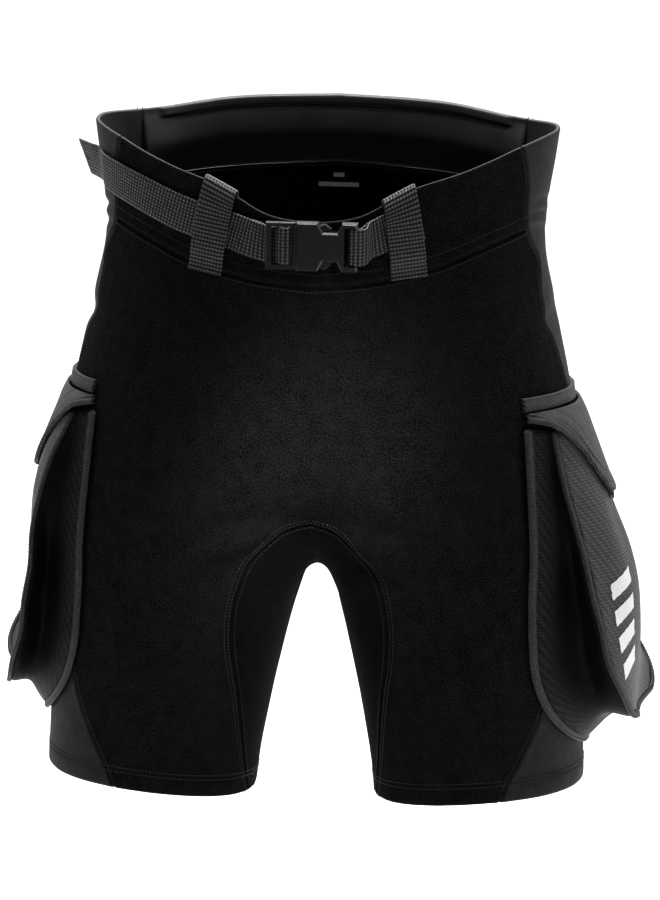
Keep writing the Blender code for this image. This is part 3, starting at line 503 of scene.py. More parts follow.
def sheet(name, patches, materials):
    """Closed sheet from patches of outer, inner and UV grids; face, back and edge slots."""
    outer = np.concatenate([p[0].reshape(-1, 3) for p in patches])
    inner = np.concatenate([p[1].reshape(-1, 3) for p in patches])
    uv = np.concatenate([p[2].reshape(-1, 2) for p in patches])
    quads = []
    base = 0
    for patch in patches:
        rows, columns = patch[0].shape[:2]
        ids = base + np.arange(rows * columns).reshape(rows, columns)
        base += rows * columns
        quad = np.stack([ids[:-1, :-1], ids[:-1, 1:], ids[1:, 1:], ids[1:, :-1]], axis=-1)
        quad = quad.reshape(-1, 4)
        corner = patch[0].reshape(-1, 3)[quad - ids[0, 0]]
        facing_out = np.cross(corner[:, 2] - corner[:, 0], corner[:, 3] - corner[:, 1])
        through_wall = (patch[0] - patch[1]).reshape(-1, 3)[quad[:, 0] - ids[0, 0]]
        if np.sum(facing_out * through_wall) < 0:
            quad = quad[:, ::-1]
        quads.append(quad)
    quads = np.concatenate(quads)
    _, keep, same = np.unique(np.round(outer, 3) + 0.0, axis=0, return_index=True,
                              return_inverse=True)
    same = same.reshape(-1)
    outer, inner, uv = outer[keep], inner[keep], uv[keep]
    quads = same[quads]
    count = len(outer)
    edges = np.stack([quads, np.roll(quads, -1, axis=1)], axis=-1).reshape(-1, 2)
    keys = np.sort(edges, axis=1)
    _, index, uses = np.unique(keys, axis=0, return_index=True, return_counts=True)
    rim = edges[index[uses == 1]]
    rims = np.stack([rim[:, 1], rim[:, 0], rim[:, 0] + count, rim[:, 1] + count], axis=-1)
    faces = np.concatenate([quads, quads[:, ::-1] + count, rims])
    slots = np.concatenate([np.zeros(len(quads)), np.ones(len(quads)), np.full(len(rims), 2)])
    points = np.concatenate([outer, inner])
    return add_mesh(name, points, faces.tolist(), slots, np.concatenate([uv, uv]), materials)


def draw_in(grid, edge, span=slice(None)):
    """Draws one edge of a panel in by half the seam gap."""
    line, following = {
        "top": (grid[0], grid[1]),
        "foot": (grid[-1], grid[-2]),
        "first": (grid[:, 0], grid[:, 1]),
        "last": (grid[:, -1], grid[:, -2]),
    }[edge]
    along = np.gradient(line, axis=0)
    inward = unit(np.cross(normal(line), along))
    side = np.sign(np.sum(inward * (following - line)))
    line[span] += inward[span] * side * SEAM_GAP / 2


def to_line(p, line):
    """Distance from each point to the nearest stretch of a line."""
    flat = p.reshape(-1, 1, 3)
    start = line[None, :-1]
    run = line[None, 1:] - start
    share = np.sum((flat - start) * run, axis=-1) / np.maximum(np.sum(run * run, axis=-1), 1e-9)
    near = start + np.clip(share, 0, 1)[..., None] * run
    return np.linalg.norm(flat - near, axis=-1).min(axis=1).reshape(p.shape[:-1])


def tangents(line):
    return unit(np.gradient(line, axis=0))


def seam_line(line, away, side, lift=0.0):
    """Points and facings of a line beside a seam, on the dressed outer face."""
    inward = unit(np.cross(normal(line), tangents(line))) * side
    p = settle(line + inward * away)
    out = normal(p)
    rise = creases(p) + uneven(p) + seam_relief(np.float64(abs(away))) + lift
    return p + out * rise[..., None], out


def hem_walls(rows):
    """Wall of a leg panel, doubled where the hem is turned up."""
    walls = np.full(rows, WALL)
    turned = len(HEM_LIFTS)
    walls[-turned + 1:] = HEM_WALL
    walls[-turned] = (WALL + HEM_WALL) / 2
    return walls[:, None]


def hem_relief(grid):
    """Stitching above the hem and the rounded fold at its foot."""
    away = from_edge(grid, "foot")
    moved = 0.35 * np.exp(-((away - 7.0) / 5.0) ** 4)
    for row in HEM_ROWS:
        moved -= 0.3 * np.exp(-((away - row) / 0.7) ** 2)
    return moved + 1.6 * rim_relief(away / 1.6)


def dressed(grid, seams, walls=WALL, outer_extra=0.0, inner_extra=0.0, rim=None, still=None):
    """Outer face, inner face and UV of a panel with its folds, seams and cut edge."""
    out = normal(grid)
    fold = creases(grid) + uneven(grid)
    outer_lift = fold + outer_extra
    inner_lift = 0.8 * fold - walls - inner_extra
    if seams:
        away = np.min([to_line(grid, seam) for seam in seams], axis=0)
        outer_lift = outer_lift + seam_relief(away)
        inner_lift = inner_lift - 0.6 * seam_relief(away)
    if rim is not None:
        away = from_edge(grid, rim)
        outer_lift = outer_lift + rim_relief(away)
        inner_lift = inner_lift - rim_relief(away)
    outer = grid + out * outer_lift[..., None]
    inner = grid + out * inner_lift[..., None]
    if still is not None:
        outer[still + (slice(0, 1),)] = 0
        inner[still + (slice(0, 1),)] = 0
    uv = cloth_uv(grid)
    if grid[..., 0].mean() < 0:
        uv = uv * np.array([-1.0, 1.0])
    return outer, inner, uv


def resample(points, facings, pitch, start=0.0):
    """Evenly spaced points, facings and directions along a line."""
    step = np.linalg.norm(np.diff(points, axis=0), axis=1)
    run = np.concatenate([[0], np.cumsum(step)])
    places = np.arange(start, run[-1] - pitch * 0.5, pitch)
    at = np.stack([np.interp(places, run, points[:, i]) for i in range(3)], axis=1)
    off = np.stack([np.interp(places, run, facings[:, i]) for i in range(3)], axis=1)
    ahead = np.stack([np.interp(places + 0.4, run, points[:, i]) for i in range(3)], axis=1)
    behind = np.stack([np.interp(places - 0.4, run, points[:, i]) for i in range(3)], axis=1)
    return at, unit(off), unit(ahead - behind + 1e-9)


class Thread:
    """Collects stitches, each a small arched bead of thread, into one mesh."""

    SIDES = 5
    RINGS = ((-1.0, 0.35, -0.35), (-0.5, 0.95, 0.4), (0.5, 0.95, 0.4), (1.0, 0.35, -0.35))

    def __init__(self):
        self.points = []
        self.quads = []
        self.count = 0

    def row(self, points, facings, pitch=3.0, long=2.2, thick=0.42, slant=0.0, start=0.0):
        at, off, along = resample(points, facings, pitch, start)
        side = unit(np.cross(off, along))
        along = unit(along + side * slant)
        side = unit(np.cross(off, along))
        angles = np.radians(np.arange(self.SIDES) * 360.0 / self.SIDES)
        rings = []
        for place, size, rise in self.RINGS:
            centre = at + along * (place * long / 2) + off * (rise * thick)
            for angle in angles:
                reach = thick * size
                rings.append(centre + side * (reach * math.cos(angle))
                             + off * (reach * 0.8 * math.sin(angle)))
        block = np.stack(rings, axis=1)
        per = block.shape[1]
        one = []
        for ring in range(len(self.RINGS) - 1):
            for k in range(self.SIDES):
                a = ring * self.SIDES + k
                b = ring * self.SIDES + (k + 1) % self.SIDES
                one.append((a, b, b + self.SIDES, a + self.SIDES))
        one = np.array(one)
        starts = self.count + per * np.arange(len(at))
        self.points.append(block.reshape(-1, 3))
        self.quads.append((starts[:, None, None] + one[None]).reshape(-1, 4))
        self.count += per * len(at)

    def build(self, name, material, body="root", slot=None):
        points = np.concatenate(self.points)
        quads = np.concatenate(self.quads)
        obj = add_mesh(name, points, quads.tolist(), np.zeros(len(quads)),
                       points[:, :2], [material])
        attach(obj, body)
        return obj




# Rows from the top edge of the back waistband to its seam, close together in the roll.
BACK_BAND_DROP = np.concatenate([
    [0, 0.01, 0.025, 0.045, 0.07, 0.095, 0.115, 0.13, 0.145, 0.16, 0.19],
    np.linspace(0.24, 0.84, 12), [0.9, 0.94, 0.965, 0.98, 0.99, 1.0]])
ROLL = 4.0
ROLL_ENDS = 16.0
BACK_SWELL = 4.5

# Rows of stitches beside each kind of seam; a minus sign is on the seam's other side.
SEAM_SIDE = -1
BAND_SEAM_ROWS = (2.7, -3.0, -9.3)
SIDE_SEAM_ROWS = (2.6, -2.6)
FORK_SEAM_ROWS = (2.7, -2.7, -5.6)
INNER_SEAM_ROWS = (-2.0, 8.0)
SEAM_STITCH = {"pitch": 2.6, "long": 1.9}
HEM_STITCH = {"pitch": 2.8, "long": 2.1}
HEM_END = 3


def halves(grid):
    """The panel half on the wearer's left and its mirror image on the right."""
    return grid, mirrored(grid)


def edge_lines(grid, *edges):
    """Seam lines of a panel half, taken from its own edges."""
    lines = {
        "top": grid[0],
        "foot": grid[-1],
        "last": grid[:, -1],
        "first": grid[:, 0],
        "arch": grid[CENTRE_ROWS:, 0],
    }
    return [lines[edge] for edge in edges]


def finish_cloth(obj, patches, node):
    obj.name = node + "_cloth"
    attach(obj, "root")
    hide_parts(node)
    span = [lengths(p[0], 1)[:, -1].max() for p in patches]
    drop = max(lengths(p[0], 0)[-1].max() for p in patches)


def waistband_front(cloth):
    grid = band_grid(-1, BAND_ROW / BAND_SPAN, PANEL_STEPS)
    draw_in(grid, "foot")
    draw_in(grid, "last")
    grid[:, 0, 0] = 0
    patches = []
    for half in halves(grid):
        away = from_edge(half, "foot")
        band = 0.45 * np.clip((10.5 - away) / 1.5, 0, 1) - 0.25 * np.exp(-((away - 9.0) / 0.6) ** 2)
        patches.append(dressed(half, edge_lines(half, "foot", "last"), outer_extra=band,
                               rim="top", still=(slice(None), 0)))
    obj = sheet("waistband_front", patches, [cloth["fleece"], cloth["lining"], cloth["cut"]])
    finish_cloth(obj, patches, "waistband_front")


def waistband_back(cloth):
    """Back waistband with its upper edge rolled over to about twice the wall."""
    grid = band_grid(1, BACK_BAND_DROP, PANEL_STEPS)
    draw_in(grid, "foot")
    draw_in(grid, "last")
    grid[:, 0, 0] = 0
    away = from_edge(grid, "top")
    ends = np.clip((from_edge(grid, "last") - ROLL_ENDS) / 3.0, 0, 1)
    roll = np.clip(np.sqrt(np.clip(1 - ((away - ROLL) / ROLL) ** 2, 0, None)), 0, 1) * ends
    hollow = 0.9 * np.exp(-((away - 8.6) / 0.9) ** 2) * ends
    low = np.clip((away - ROLL) / (lengths(grid, 0)[-1:] - ROLL), 0, 1)
    swell = BACK_SWELL * through((0, 0.3, 0.5, 0.8, 1), (0, 0.75, 1, 0.4, 0), low)
    patches = []
    for half in halves(grid):
        patches.append(dressed(half, edge_lines(half, "foot", "last"),
                               outer_extra=roll * 1.1 - hollow * 0.5,
                               inner_extra=roll * 2.0 - hollow + swell, rim="top",
                               still=(slice(None), 0)))
    obj = sheet("waistband_back", patches, [cloth["fleece"], cloth["skin"], cloth["fleece"]])
    finish_cloth(obj, patches, "waistband_back")


def leg_panel(name, way, cloth):
    """Front or back panel: both legs in one piece above the fork."""
    grid = panel_grid(way)
    draw_in(grid, "top")
    draw_in(grid, "last")
    draw_in(grid, "first", slice(CENTRE_ROWS, None))
    grid[:CENTRE_ROWS + 1, 0, 0] = 0
    walls = hem_walls(len(grid))
    inner_leg = grid[CENTRE_ROWS:, 0]
    patches = []
    for half in halves(grid):
        lines = edge_lines(half, "top", "last", "arch") + [mirrored(inner_leg), inner_leg]
        patches.append(dressed(half, lines, walls, outer_extra=hem_relief(half),
                               still=(slice(0, CENTRE_ROWS + 1), 0)))
    obj = sheet(name, patches, [cloth["fleece"], cloth["lining"], cloth["fleece"]])
    finish_cloth(obj, patches, name)
    return grid


def side_panel(name, grid, cloth):
    walls = hem_walls(len(grid))
    patches = [dressed(grid, edge_lines(grid, "first", "last"), walls,
                       outer_extra=hem_relief(grid), rim="top")]
    obj = sheet(name, patches, [cloth["knit"], cloth["skin"], cloth["cut"]])
    finish_cloth(obj, patches, name)


def gusset(cloth):
    grid = gusset_grid()
    draw_in(grid, "first")
    draw_in(grid, "last")
    grid[0, :, 0] = 0
    walls = hem_walls(len(grid))
    patches = []
    for half in halves(grid):
        lines = edge_lines(half, "first", "last") + [mirrored(half[:, 0]), mirrored(half[:, -1])]
        patches.append(dressed(half, lines, walls, outer_extra=hem_relief(half),
                               still=(0, slice(None))))
    obj = sheet("gusset", patches, [cloth["stretch"], cloth["lining"], cloth["stretch"]])
    finish_cloth(obj, patches, "gusset")
    return grid


def body(cloth):
    """All body panels; returns the panel grids whose edges the stitching follows."""
    waistband_front(cloth)
    waistband_back(cloth)
    front = leg_panel("front_panel", -1, cloth)
    back = leg_panel("back_panel", 1, cloth)
    side = side_grid()
    draw_in(side, "first")
    draw_in(side, "last")
    side_panel("side_panel_left", side, cloth)
    side_panel("side_panel_right", mirrored(side), cloth)
    return front, back, side, gusset(cloth)


def both_sides(thread, line, away, side, **sizes):
    """A row of stitches beside a seam, on the left half and on the right half."""
    for path, turn in ((line, side), (mirrored(line), -side)):
        points, facings = seam_line(path, away, turn, lift=0.12)
        thread.row(points, facings, **sizes)


def inner_row(thread, line, away, side, lift, **sizes):
    """A row of stitches on the inner face, beside a seam, on both halves."""
    for path, turn in ((line, side), (mirrored(line), -side)):
        inward = unit(np.cross(normal(path), tangents(path))) * turn
        p = settle(path + inward * away)
        out = normal(p)
        rise = 0.8 * (creases(p) + uneven(p)) - WALL - lift
        thread.row(p + out * rise[..., None], -out, **sizes)


def body_stitches(panels, cloth):
    """Flat-seam and hem stitching on the outside, and the rows that show inside."""
    front, back, side, fork = panels
    seams = [(front[0], 1, BAND_SEAM_ROWS), (back[0], -1, BAND_SEAM_ROWS)]
    for column, way in ((0, 1), (-1, -1)):
        seams.append((side[:-HEM_END, column], way, SIDE_SEAM_ROWS))
        seams.append((fork[:-HEM_END, column], way, FORK_SEAM_ROWS))
    thread = Thread()
    for line, way, rows in seams:
        for away in rows:
            both_sides(thread, line, away, way * SEAM_SIDE, **SEAM_STITCH)
    for line, way in ((front[-1], -1), (back[-1][::-1], -1), (side[-1], -1), (fork[-1], 1)):
        for away in HEM_ROWS:
            both_sides(thread, line, away, way * SEAM_SIDE, **HEM_STITCH)
    obj = thread.build("seam_stitches", cloth["thread"])
    inside = Thread()
    for away in INNER_SEAM_ROWS:
        inner_row(inside, back[0], away, SEAM_SIDE, 0.1, **SEAM_STITCH)
    obj = inside.build("inner_band_stitches", cloth["pale_thread"])




# Cargo pocket on the wearer's left; the other one is its mirror image, hung higher.
STRIP_TOP = -163.0
STRIP_FOOT = -172.5
FLAP_HALF_Y = 80.0
FLAP_ALONG = (-1, -0.85, -0.6, -0.4, -0.2, 0, 0.2, 0.4, 0.6, 0.85, 1)
FLAP_FOOT_Y = (-80, -69, -46, -30, -15, 0, 15, 30, 46, 69, 80)
FLAP_FOOT_Z = (-179, -184, -203, -224, -236, -239, -236, -224, -203, -184, -179)
FACE_LEVEL = (-187, -225, -250, -275, -300, -325, -365, -392)
LEFT_EDGE_X = (166, 175, 183, 190, 197, 203, 215, 228)
LEFT_MID_X = (186, 201, 211, 221, 227, 229.5, 231, 231)
RIGHT_EDGE_X = (170, 187, 194, 198, 200, 203, 210, 219)
RIGHT_MID_X = (185, 199, 204, 205, 205, 206, 212, 220)
FACE_HALF_Y = (66, 68, 69, 70, 71, 71, 67, 47)
SEAT_LEVEL = (-184, -250, -325, -370, -392, -405)
SEAT_HALF_Y = (78, 81, 80, 73, 62, 47)
SEAT_SAG = 12.0
MESH_WALL = 1.2
BINDING_WIDE = 2.7
BINDING_DEEP = 1.9
SEAT_WIDE = 4.2
BINDING_CLEAR = 3.1
SEAT_CLEAR = 1.2
TAPE_STEP = 0.9
TAPE_RIB = 1.8
TAPE_ROUND = 15.0
TAPE_TIP = 2.4
FLAP_ROWS = (4.2, 7.0, 15.0)
FLAP_CUT = (172.0, 78.0)
TAB_HALF = 9.0
TAB_TOP = -231.0
TAB_FOOT = -243.5
POCKET_STITCH = {"pitch": 2.7, "long": 2.0}

# Plain reflective bars printed on one pocket, and the rows and columns of each.
PRINT_BARS = 4
PRINT_TOP = -292.0
PRINT_PITCH = 19.0
PRINT_BAR = 11.0
PRINT_HALF_Y = 13.0
PRINT_Y = -42.0
PRINT_SLANT = 0.35
PRINT_GRID = (7, 13)


def rounded(line, rounds):
    """Softens the corners of a line without moving its ends."""
    line = line.copy()
    for _ in range(rounds):
        line[1:-1] = line[1:-1] * 0.5 + (line[:-2] + line[2:]) * 0.25
    return line


def outline(levels, half_ys, sag, rows=72, columns=44):
    """U outline of a pocket in y and z: down the front, across and up the back."""
    top, foot = levels[0], levels[-1]
    down = top + (foot - top) * np.linspace(0, 1, rows + 1) ** 0.8
    half = through(levels, half_ys, down)
    along = np.linspace(-1, 1, columns + 1)[1:-1]
    y = np.concatenate([-half, half[-1] * along, half[::-1]])
    z = np.concatenate([down, foot - sag * (1 - along ** 2), down[::-1]])
    line = rounded(np.stack([y, z], axis=1), 26)
    return line[:, 0], line[:, 1]


class Pocket:
    """Points of one pocket in the right half; "place" puts them on their own side."""

    def __init__(self, side, edge_x, mid_x, lift_top, lift_foot, aft):
        self.side = side
        self.suffix = "left" if side > 0 else "right"
        self.edge_x = edge_x
        self.mid_x = mid_x
        self.lift_top = lift_top
        self.lift_foot = lift_foot
        self.aft = aft

    def level(self, z):
        share = (STRIP_TOP - z) / (STRIP_TOP - SEAT_LEVEL[-1])
        return z + self.lift_top + (self.lift_foot - self.lift_top) * share

    def place(self, p):
        return p if self.side > 0 else mirrored(p)

    def seat_point(self, y, z):
        return beside(y + self.aft, self.level(z))

    def face_x(self, y, z):
        """Outward reach of the face; its lower back corner flares."""
        half = through(FACE_LEVEL, FACE_HALF_Y, z)
        edge = through(FACE_LEVEL, self.edge_x, z)
        mid = through(FACE_LEVEL, self.mid_x, z)
        across = np.clip(np.abs(y) / half, 0, 1)
        low = np.exp(-((z + 376.0) / 36.0) ** 2)
        flare = 18.0 * np.clip(y / half, 0, 1) ** 2 * low
        return edge + (mid - edge) * (1 - across ** 2.2) + flare

    def face_point(self, y, z):
        return stack(self.face_x(y, z), y + self.aft, self.level(z))

    def seat_line(self):
        y, z = outline(SEAT_LEVEL, SEAT_HALF_Y, SEAT_SAG)
        line = self.seat_point(y, z)
        return line, normal(line)

    def face_line(self):
        y, z = outline(FACE_LEVEL, FACE_HALF_Y, 5.0)
        line = self.face_point(y, z)
        place = np.linspace(0, 1, len(y))
        ripple = 0.9 * np.sin(place * 61) * np.sin(np.pi * place) * (y < 0)
        line[:, 0] += ripple
        return line

    def face_outward(self, line):
        lean = np.clip(line[:, 1] / 160.0, -0.45, 0.45)
        return unit(stack(1.0, lean, 0 * lean + 0.25))

    def middle(self, z):
        seat = beside(0 * z + self.aft, z)
        return stack((seat[..., 0] + 226.0) / 2, 0 * z + self.aft, np.maximum(z, -370.0))

    def sheet(self, part, grid, out, half_wall, materials, slot, lift=0.0, cut=None):
        """Piece of cloth on the pocket, thickened to both sides of its middle."""
        outer = self.place(grid + out * (half_wall + lift)[..., None])
        inner = self.place(grid + out * (0.6 * lift - half_wall)[..., None])
        uv = cloth_uv(grid) * np.array([self.side, 1.0])
        name = "pocket_" + part + "_" + self.suffix
        patches = [(outer, inner, uv)]
        obj = sheet(name, patches, materials)
        finish_cloth(obj, patches, name)
        return obj


def outward_of(grid):
    out = unit(np.cross(np.gradient(grid, axis=1), np.gradient(grid, axis=0)))
    return out * np.sign(out[..., 0].mean())


def pocket_strip(pocket, cloth, thread):
    """Twill strip across the top of the pocket, edge-stitched to the leg."""
    turn = np.linspace(-42, 42, 110) + pocket.aft
    drop = np.array([0, 0.03, 0.08, 0.16, 0.28, 0.42, 0.58, 0.72, 0.84, 0.92, 0.97, 1.0])
    levels = pocket.level(STRIP_TOP + (STRIP_FOOT - STRIP_TOP) * drop)
    grid = wall_point(turn[None, :] + 0 * levels[:, None], levels[:, None] + 0 * turn[None, :])
    out = normal(grid)
    high = np.minimum(from_edge(grid, "top"), from_edge(grid, "foot"))
    dip = 0.35 * np.exp(-((high - 1.6) / 0.5) ** 2) + 0.9 * np.exp(-(high / 0.7) ** 2)
    rise = 0.25 * np.sin(lengths(grid, 1) / 9.0) * np.exp(-(high / 3.0) ** 2)
    pocket.sheet("strip", grid + out * 1.8, out, 1.4 + 0 * high,
                 [cloth["twill"]] * 3, "twill", rise - dip)
    for row in (2, 9):
        points = grid[row] + out[row] * 2.9
        thread.row(pocket.place(points), pocket.place(out[row]), **POCKET_STITCH)


def flap_middle(pocket, y, z):
    """Middle of the flap's cloth: over the face, dropping to the panel at its ends."""
    half = through(FACE_LEVEL, FACE_HALF_Y, z)
    ratio = np.abs(y) / half
    seat = pocket.seat_point(y, z)[..., 0]
    over = pocket.face_x(y, z) + 3.0 + 2.6 * np.clip(ratio, 0, 1) ** 6
    past = np.clip((ratio - 1.07) / 0.14, 0, 1)
    past = past * past * (3 - 2 * past)
    over = over * (1 - past) + (seat + 3.6) * past
    root = np.clip((z + 187.0) / 13.5, 0, 1)
    return np.maximum(over * (1 - root) + (seat + 5.0) * root, seat + 3.4)


def pocket_flap(pocket, cloth, thread):
    """Pointed twill flap with a rolled edge and rows of stitching that follow it."""
    along = np.linspace(-1, 1, 121)
    foot_y = through(FLAP_ALONG, FLAP_FOOT_Y, along)
    foot_z = through(FLAP_ALONG, FLAP_FOOT_Z, along)
    foot_z = rounded(stack(0, foot_y, foot_z), 12)[:, 2]
    share = spread(26, 48.0, first=False)[:, None]
    y = FLAP_HALF_Y * along * (1 - share) + foot_y * share
    z = (STRIP_FOOT - 0.6) * (1 - share) + foot_z * share
    grid = stack(flap_middle(pocket, y, z), y + pocket.aft, pocket.level(z))
    for _ in range(3):
        grid[1:-1] = grid[1:-1] * 0.5 + (grid[:-2] + grid[2:]) * 0.25
    out = outward_of(grid)
    away = to_line(grid, grid[-1])
    roll = 1.0 * np.exp(-((away - 1.9) / 1.8) ** 4) - 0.9 * np.exp(-(away / 0.6) ** 2)
    for row in FLAP_ROWS:
        roll -= 0.5 * np.exp(-((away - row) / 0.8) ** 2)
    roll += 0.3 * np.sin(y / 9.0 + 1.0) * np.clip(away / 20.0, 0, 1)
    pocket.sheet("flap", grid, out, 1.1 + 0 * away,
                 [cloth["twill"]] * 3, "twill", roll, FLAP_CUT)
    run = lengths(grid, 0)
    for row in FLAP_ROWS:
        keep = run[-1] > row + 6.0
        points = []
        for column in np.flatnonzero(keep):
            depth = run[-1, column] - row
            points.append([np.interp(depth, run[:, column], grid[:, column, i]
                                     + out[:, column, i] * 1.0) for i in range(3)])
        points = rounded(np.array(points), 3)
        facings = np.repeat(out[-1:, keep].mean(axis=1), len(points), axis=0)
        thread.row(pocket.place(points), pocket.place(facings), **POCKET_STITCH)


def pocket_tab(pocket, cloth, thread):
    """Short pull tab that shows below the point of the flap."""
    y = np.linspace(-TAB_HALF, TAB_HALF, 19)
    z = np.linspace(TAB_TOP, TAB_FOOT, 13)
    yy, zz = np.meshgrid(y, z)
    grid = stack(pocket.face_x(yy, zz) + 1.2, yy + pocket.aft, pocket.level(zz))
    out = outward_of(grid)
    away = np.minimum.reduce([from_edge(grid, e) for e in ("first", "last", "foot")])
    outer = pocket.place(grid + out * (0.5 - 0.5 * np.exp(-(away / 0.6) ** 2))[..., None])
    inner = pocket.place(grid - out * 0.6)
    uv = cloth_uv(grid)
    obj = sheet("pocket_tab_" + pocket.suffix, [(outer, inner, uv)], [cloth["twill"]] * 3)
    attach(obj, "root")
    row = grid[-4] + out[-4] * 0.5
    thread.row(pocket.place(row), pocket.place(out[-4]), **POCKET_STITCH)


def pocket_face(pocket, cloth):
    """Bulging mesh front of the pocket, inside its binding; returns its outer points."""
    foot_z = FACE_LEVEL[-1]
    share = np.linspace(0, 1, 76)[:, None]
    across = np.linspace(-1, 1, 64)[None, :]
    level = FACE_LEVEL[0] + (foot_z - FACE_LEVEL[0]) * share ** 0.8
    half = through(FACE_LEVEL, FACE_HALF_Y, level) - BINDING_CLEAR * 0.75
    y = half * across
    z = level + 0 * across
    z = z + (BINDING_CLEAR * 1.15 - 5.0 * (1 - across ** 2)) * share ** 3
    grid = pocket.face_point(y, z)
    out = outward_of(grid)
    from_side = np.minimum(from_edge(grid, "first"), from_edge(grid, "last"))
    pucker = 0.5 * np.sin(lengths(grid, 0) / 5.2) * np.exp(-(from_side / 9.0) ** 2)
    dent = -3.2 * np.exp(-(((y + 18) / 16) ** 2 + ((z + 268) / 30) ** 2))
    dent += -2.0 * np.exp(-(((y - 26) / 18) ** 2 + ((z + 330) / 34) ** 2))
    dent += 1.2 * np.sin(y / 17.0 + z / 29.0) * np.clip(from_side / 14.0, 0, 1)
    pocket.sheet("face", grid, out, MESH_WALL / 2 + 0 * y,
                 [cloth["mesh"]] * 3, "mesh", pucker + dent)
    return grid + out * (pucker + dent + MESH_WALL / 2)[..., None]


def pocket_bellows(pocket, cloth):
    """Mesh side of the pocket, from leg to face, folded inward along its middle."""
    seat, seat_out = pocket.seat_line()
    face = pocket.face_line()
    rise = seat + seat_out * (BINDING_DEEP + SEAT_CLEAR)
    way = unit(face - rise)
    start = rise + way * (BINDING_CLEAR - 0.9)
    end = face - way * (BINDING_CLEAR - 0.9)
    place = np.linspace(0, 1, len(seat))
    depth = through((0, 0.1, 0.28, 0.4, 0.5, 0.6, 0.72, 0.9, 1),
                    (3, 11, 19, 10, 7, 10, 19, 11, 3), place)
    share = np.linspace(0, 1, 29)
    flat = start[:, None] * (1 - share[None, :, None]) + end[:, None] * share[None, :, None]
    inward = unit(pocket.middle(flat[..., 2]) - flat)
    toward_face = np.sum(inward[:, len(share) // 2] * way, axis=1)
    room = np.linalg.norm(end - start, axis=1)
    depth = np.minimum(depth, 0.4 * room / np.clip(toward_face, 0.2, 1.0))
    pleat = np.sin(np.pi * share) ** 1.25
    ripple = 1.9 * np.sin(place * 47)[:, None] * np.sin(np.pi * share)[None, :] ** 2
    grid = flat + inward * (pleat[None, :] * depth[:, None] + ripple)[..., None]
    out = unit(np.cross(np.gradient(grid, axis=1), np.gradient(grid, axis=0)))
    out = out * np.sign(-np.sum(out * inward))
    pocket.sheet("bellows", grid, out, MESH_WALL / 2 + 0 * grid[..., 0],
                 [cloth["side_mesh_shaded"]] * 3, "mesh", 0 * grid[..., 0])


def binding(name, line, outward, cloth, thread, stitch_turn, wide=BINDING_WIDE):
    """Folded tape along an outline: ribbed, grooved by its stitching, rounded at its ends."""
    along = tangents(line)
    across = unit(np.cross(along, outward))
    lift = unit(np.cross(across, along))
    run = np.concatenate([[0], np.cumsum(np.linalg.norm(np.diff(line, axis=0), axis=1))])
    fine = np.arange(0, run[-1], TAPE_STEP)
    line, across, lift = [np.stack([np.interp(fine, run, v[:, i]) for i in range(3)], axis=1)
                          for v in (line, across, lift)]
    end = np.minimum(fine, fine[-1] - fine)
    grow = np.sqrt(np.clip(1 - (1 - np.clip(end / TAPE_TIP, 0, 1)) ** 2, 0.02, 1))
    turns = np.radians(np.linspace(0, 360, 22)[:-1])
    rings = []
    for turn in turns:
        size = 1 + 0.03 * np.sin(fine * 2 * np.pi / TAPE_RIB)
        groove = 0.12 * math.exp(-((abs(math.degrees(turn) - 90) - stitch_turn) / 14) ** 2)
        reach = grow * (size - groove)
        rings.append(line + across * (wide * math.cos(turn) * reach)[:, None]
                     + lift * (BINDING_DEEP * math.sin(turn) * reach)[:, None])
    rings = np.stack(rings, axis=1)
    steps, size = rings.shape[:2]
    faces = [tuple(range(size)), tuple((steps - 1) * size + i for i in reversed(range(size)))]
    ids = np.arange(steps * size).reshape(steps, size)
    beside_ids = np.roll(ids, -1, axis=1)
    quads = np.stack([ids[:-1], ids[1:], beside_ids[1:], beside_ids[:-1]], axis=-1)
    faces += quads.reshape(-1, 4).tolist()
    around = np.degrees(turns)[None, :] / 360 * TAPE_ROUND + 0 * fine[:, None]
    uv = np.stack([around, fine[:, None] + 0 * around], axis=-1).reshape(-1, 2)
    obj = add_mesh(name, rings.reshape(-1, 3), faces, np.zeros(len(faces)), uv, [cloth["tape"]])
    turn_outside_out(obj)
    obj.name = name + "_tape"
    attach(obj, "root")
    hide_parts(name)
    for side in (-1, 1):
        tilt = math.radians(90 + side * stitch_turn)
        points = (line + across * (wide * 0.93 * math.cos(tilt))
                  + lift * (BINDING_DEEP * 0.93 * math.sin(tilt)))
        facings = unit(across * math.cos(tilt) + lift * math.sin(tilt))
        thread.row(points[4:-4], facings[4:-4], pitch=2.6, long=1.6, thick=0.5)


def turn_outside_out(obj):
    """Makes a closed mesh's faces point outward."""
    form = bmesh.new()
    form.from_mesh(obj.data)
    bmesh.ops.recalc_face_normals(form, faces=form.faces)
    form.to_mesh(obj.data)
    form.free()


def pocket_bindings(pocket, cloth, thread):
    seat, seat_out = pocket.seat_line()
    line = seat + seat_out * (BINDING_DEEP + SEAT_CLEAR)
    binding("pocket_seat_binding_" + pocket.suffix, pocket.place(line), pocket.place(seat_out),
            cloth, thread, 40, SEAT_WIDE)
    face = pocket.face_line()
    binding("pocket_face_binding_" + pocket.suffix, pocket.place(face),
            pocket.place(pocket.face_outward(face)), cloth, thread, 46)


def grid_quads(rows, columns, first):
    """Faces of a grid of points that are numbered row by row from "first"."""
    ids = first + np.arange(rows * columns).reshape(rows, columns)
    quads = np.stack([ids[:-1, :-1], ids[1:, :-1], ids[1:, 1:], ids[:-1, 1:]], axis=-1)
    return quads.reshape(-1, 4).tolist()


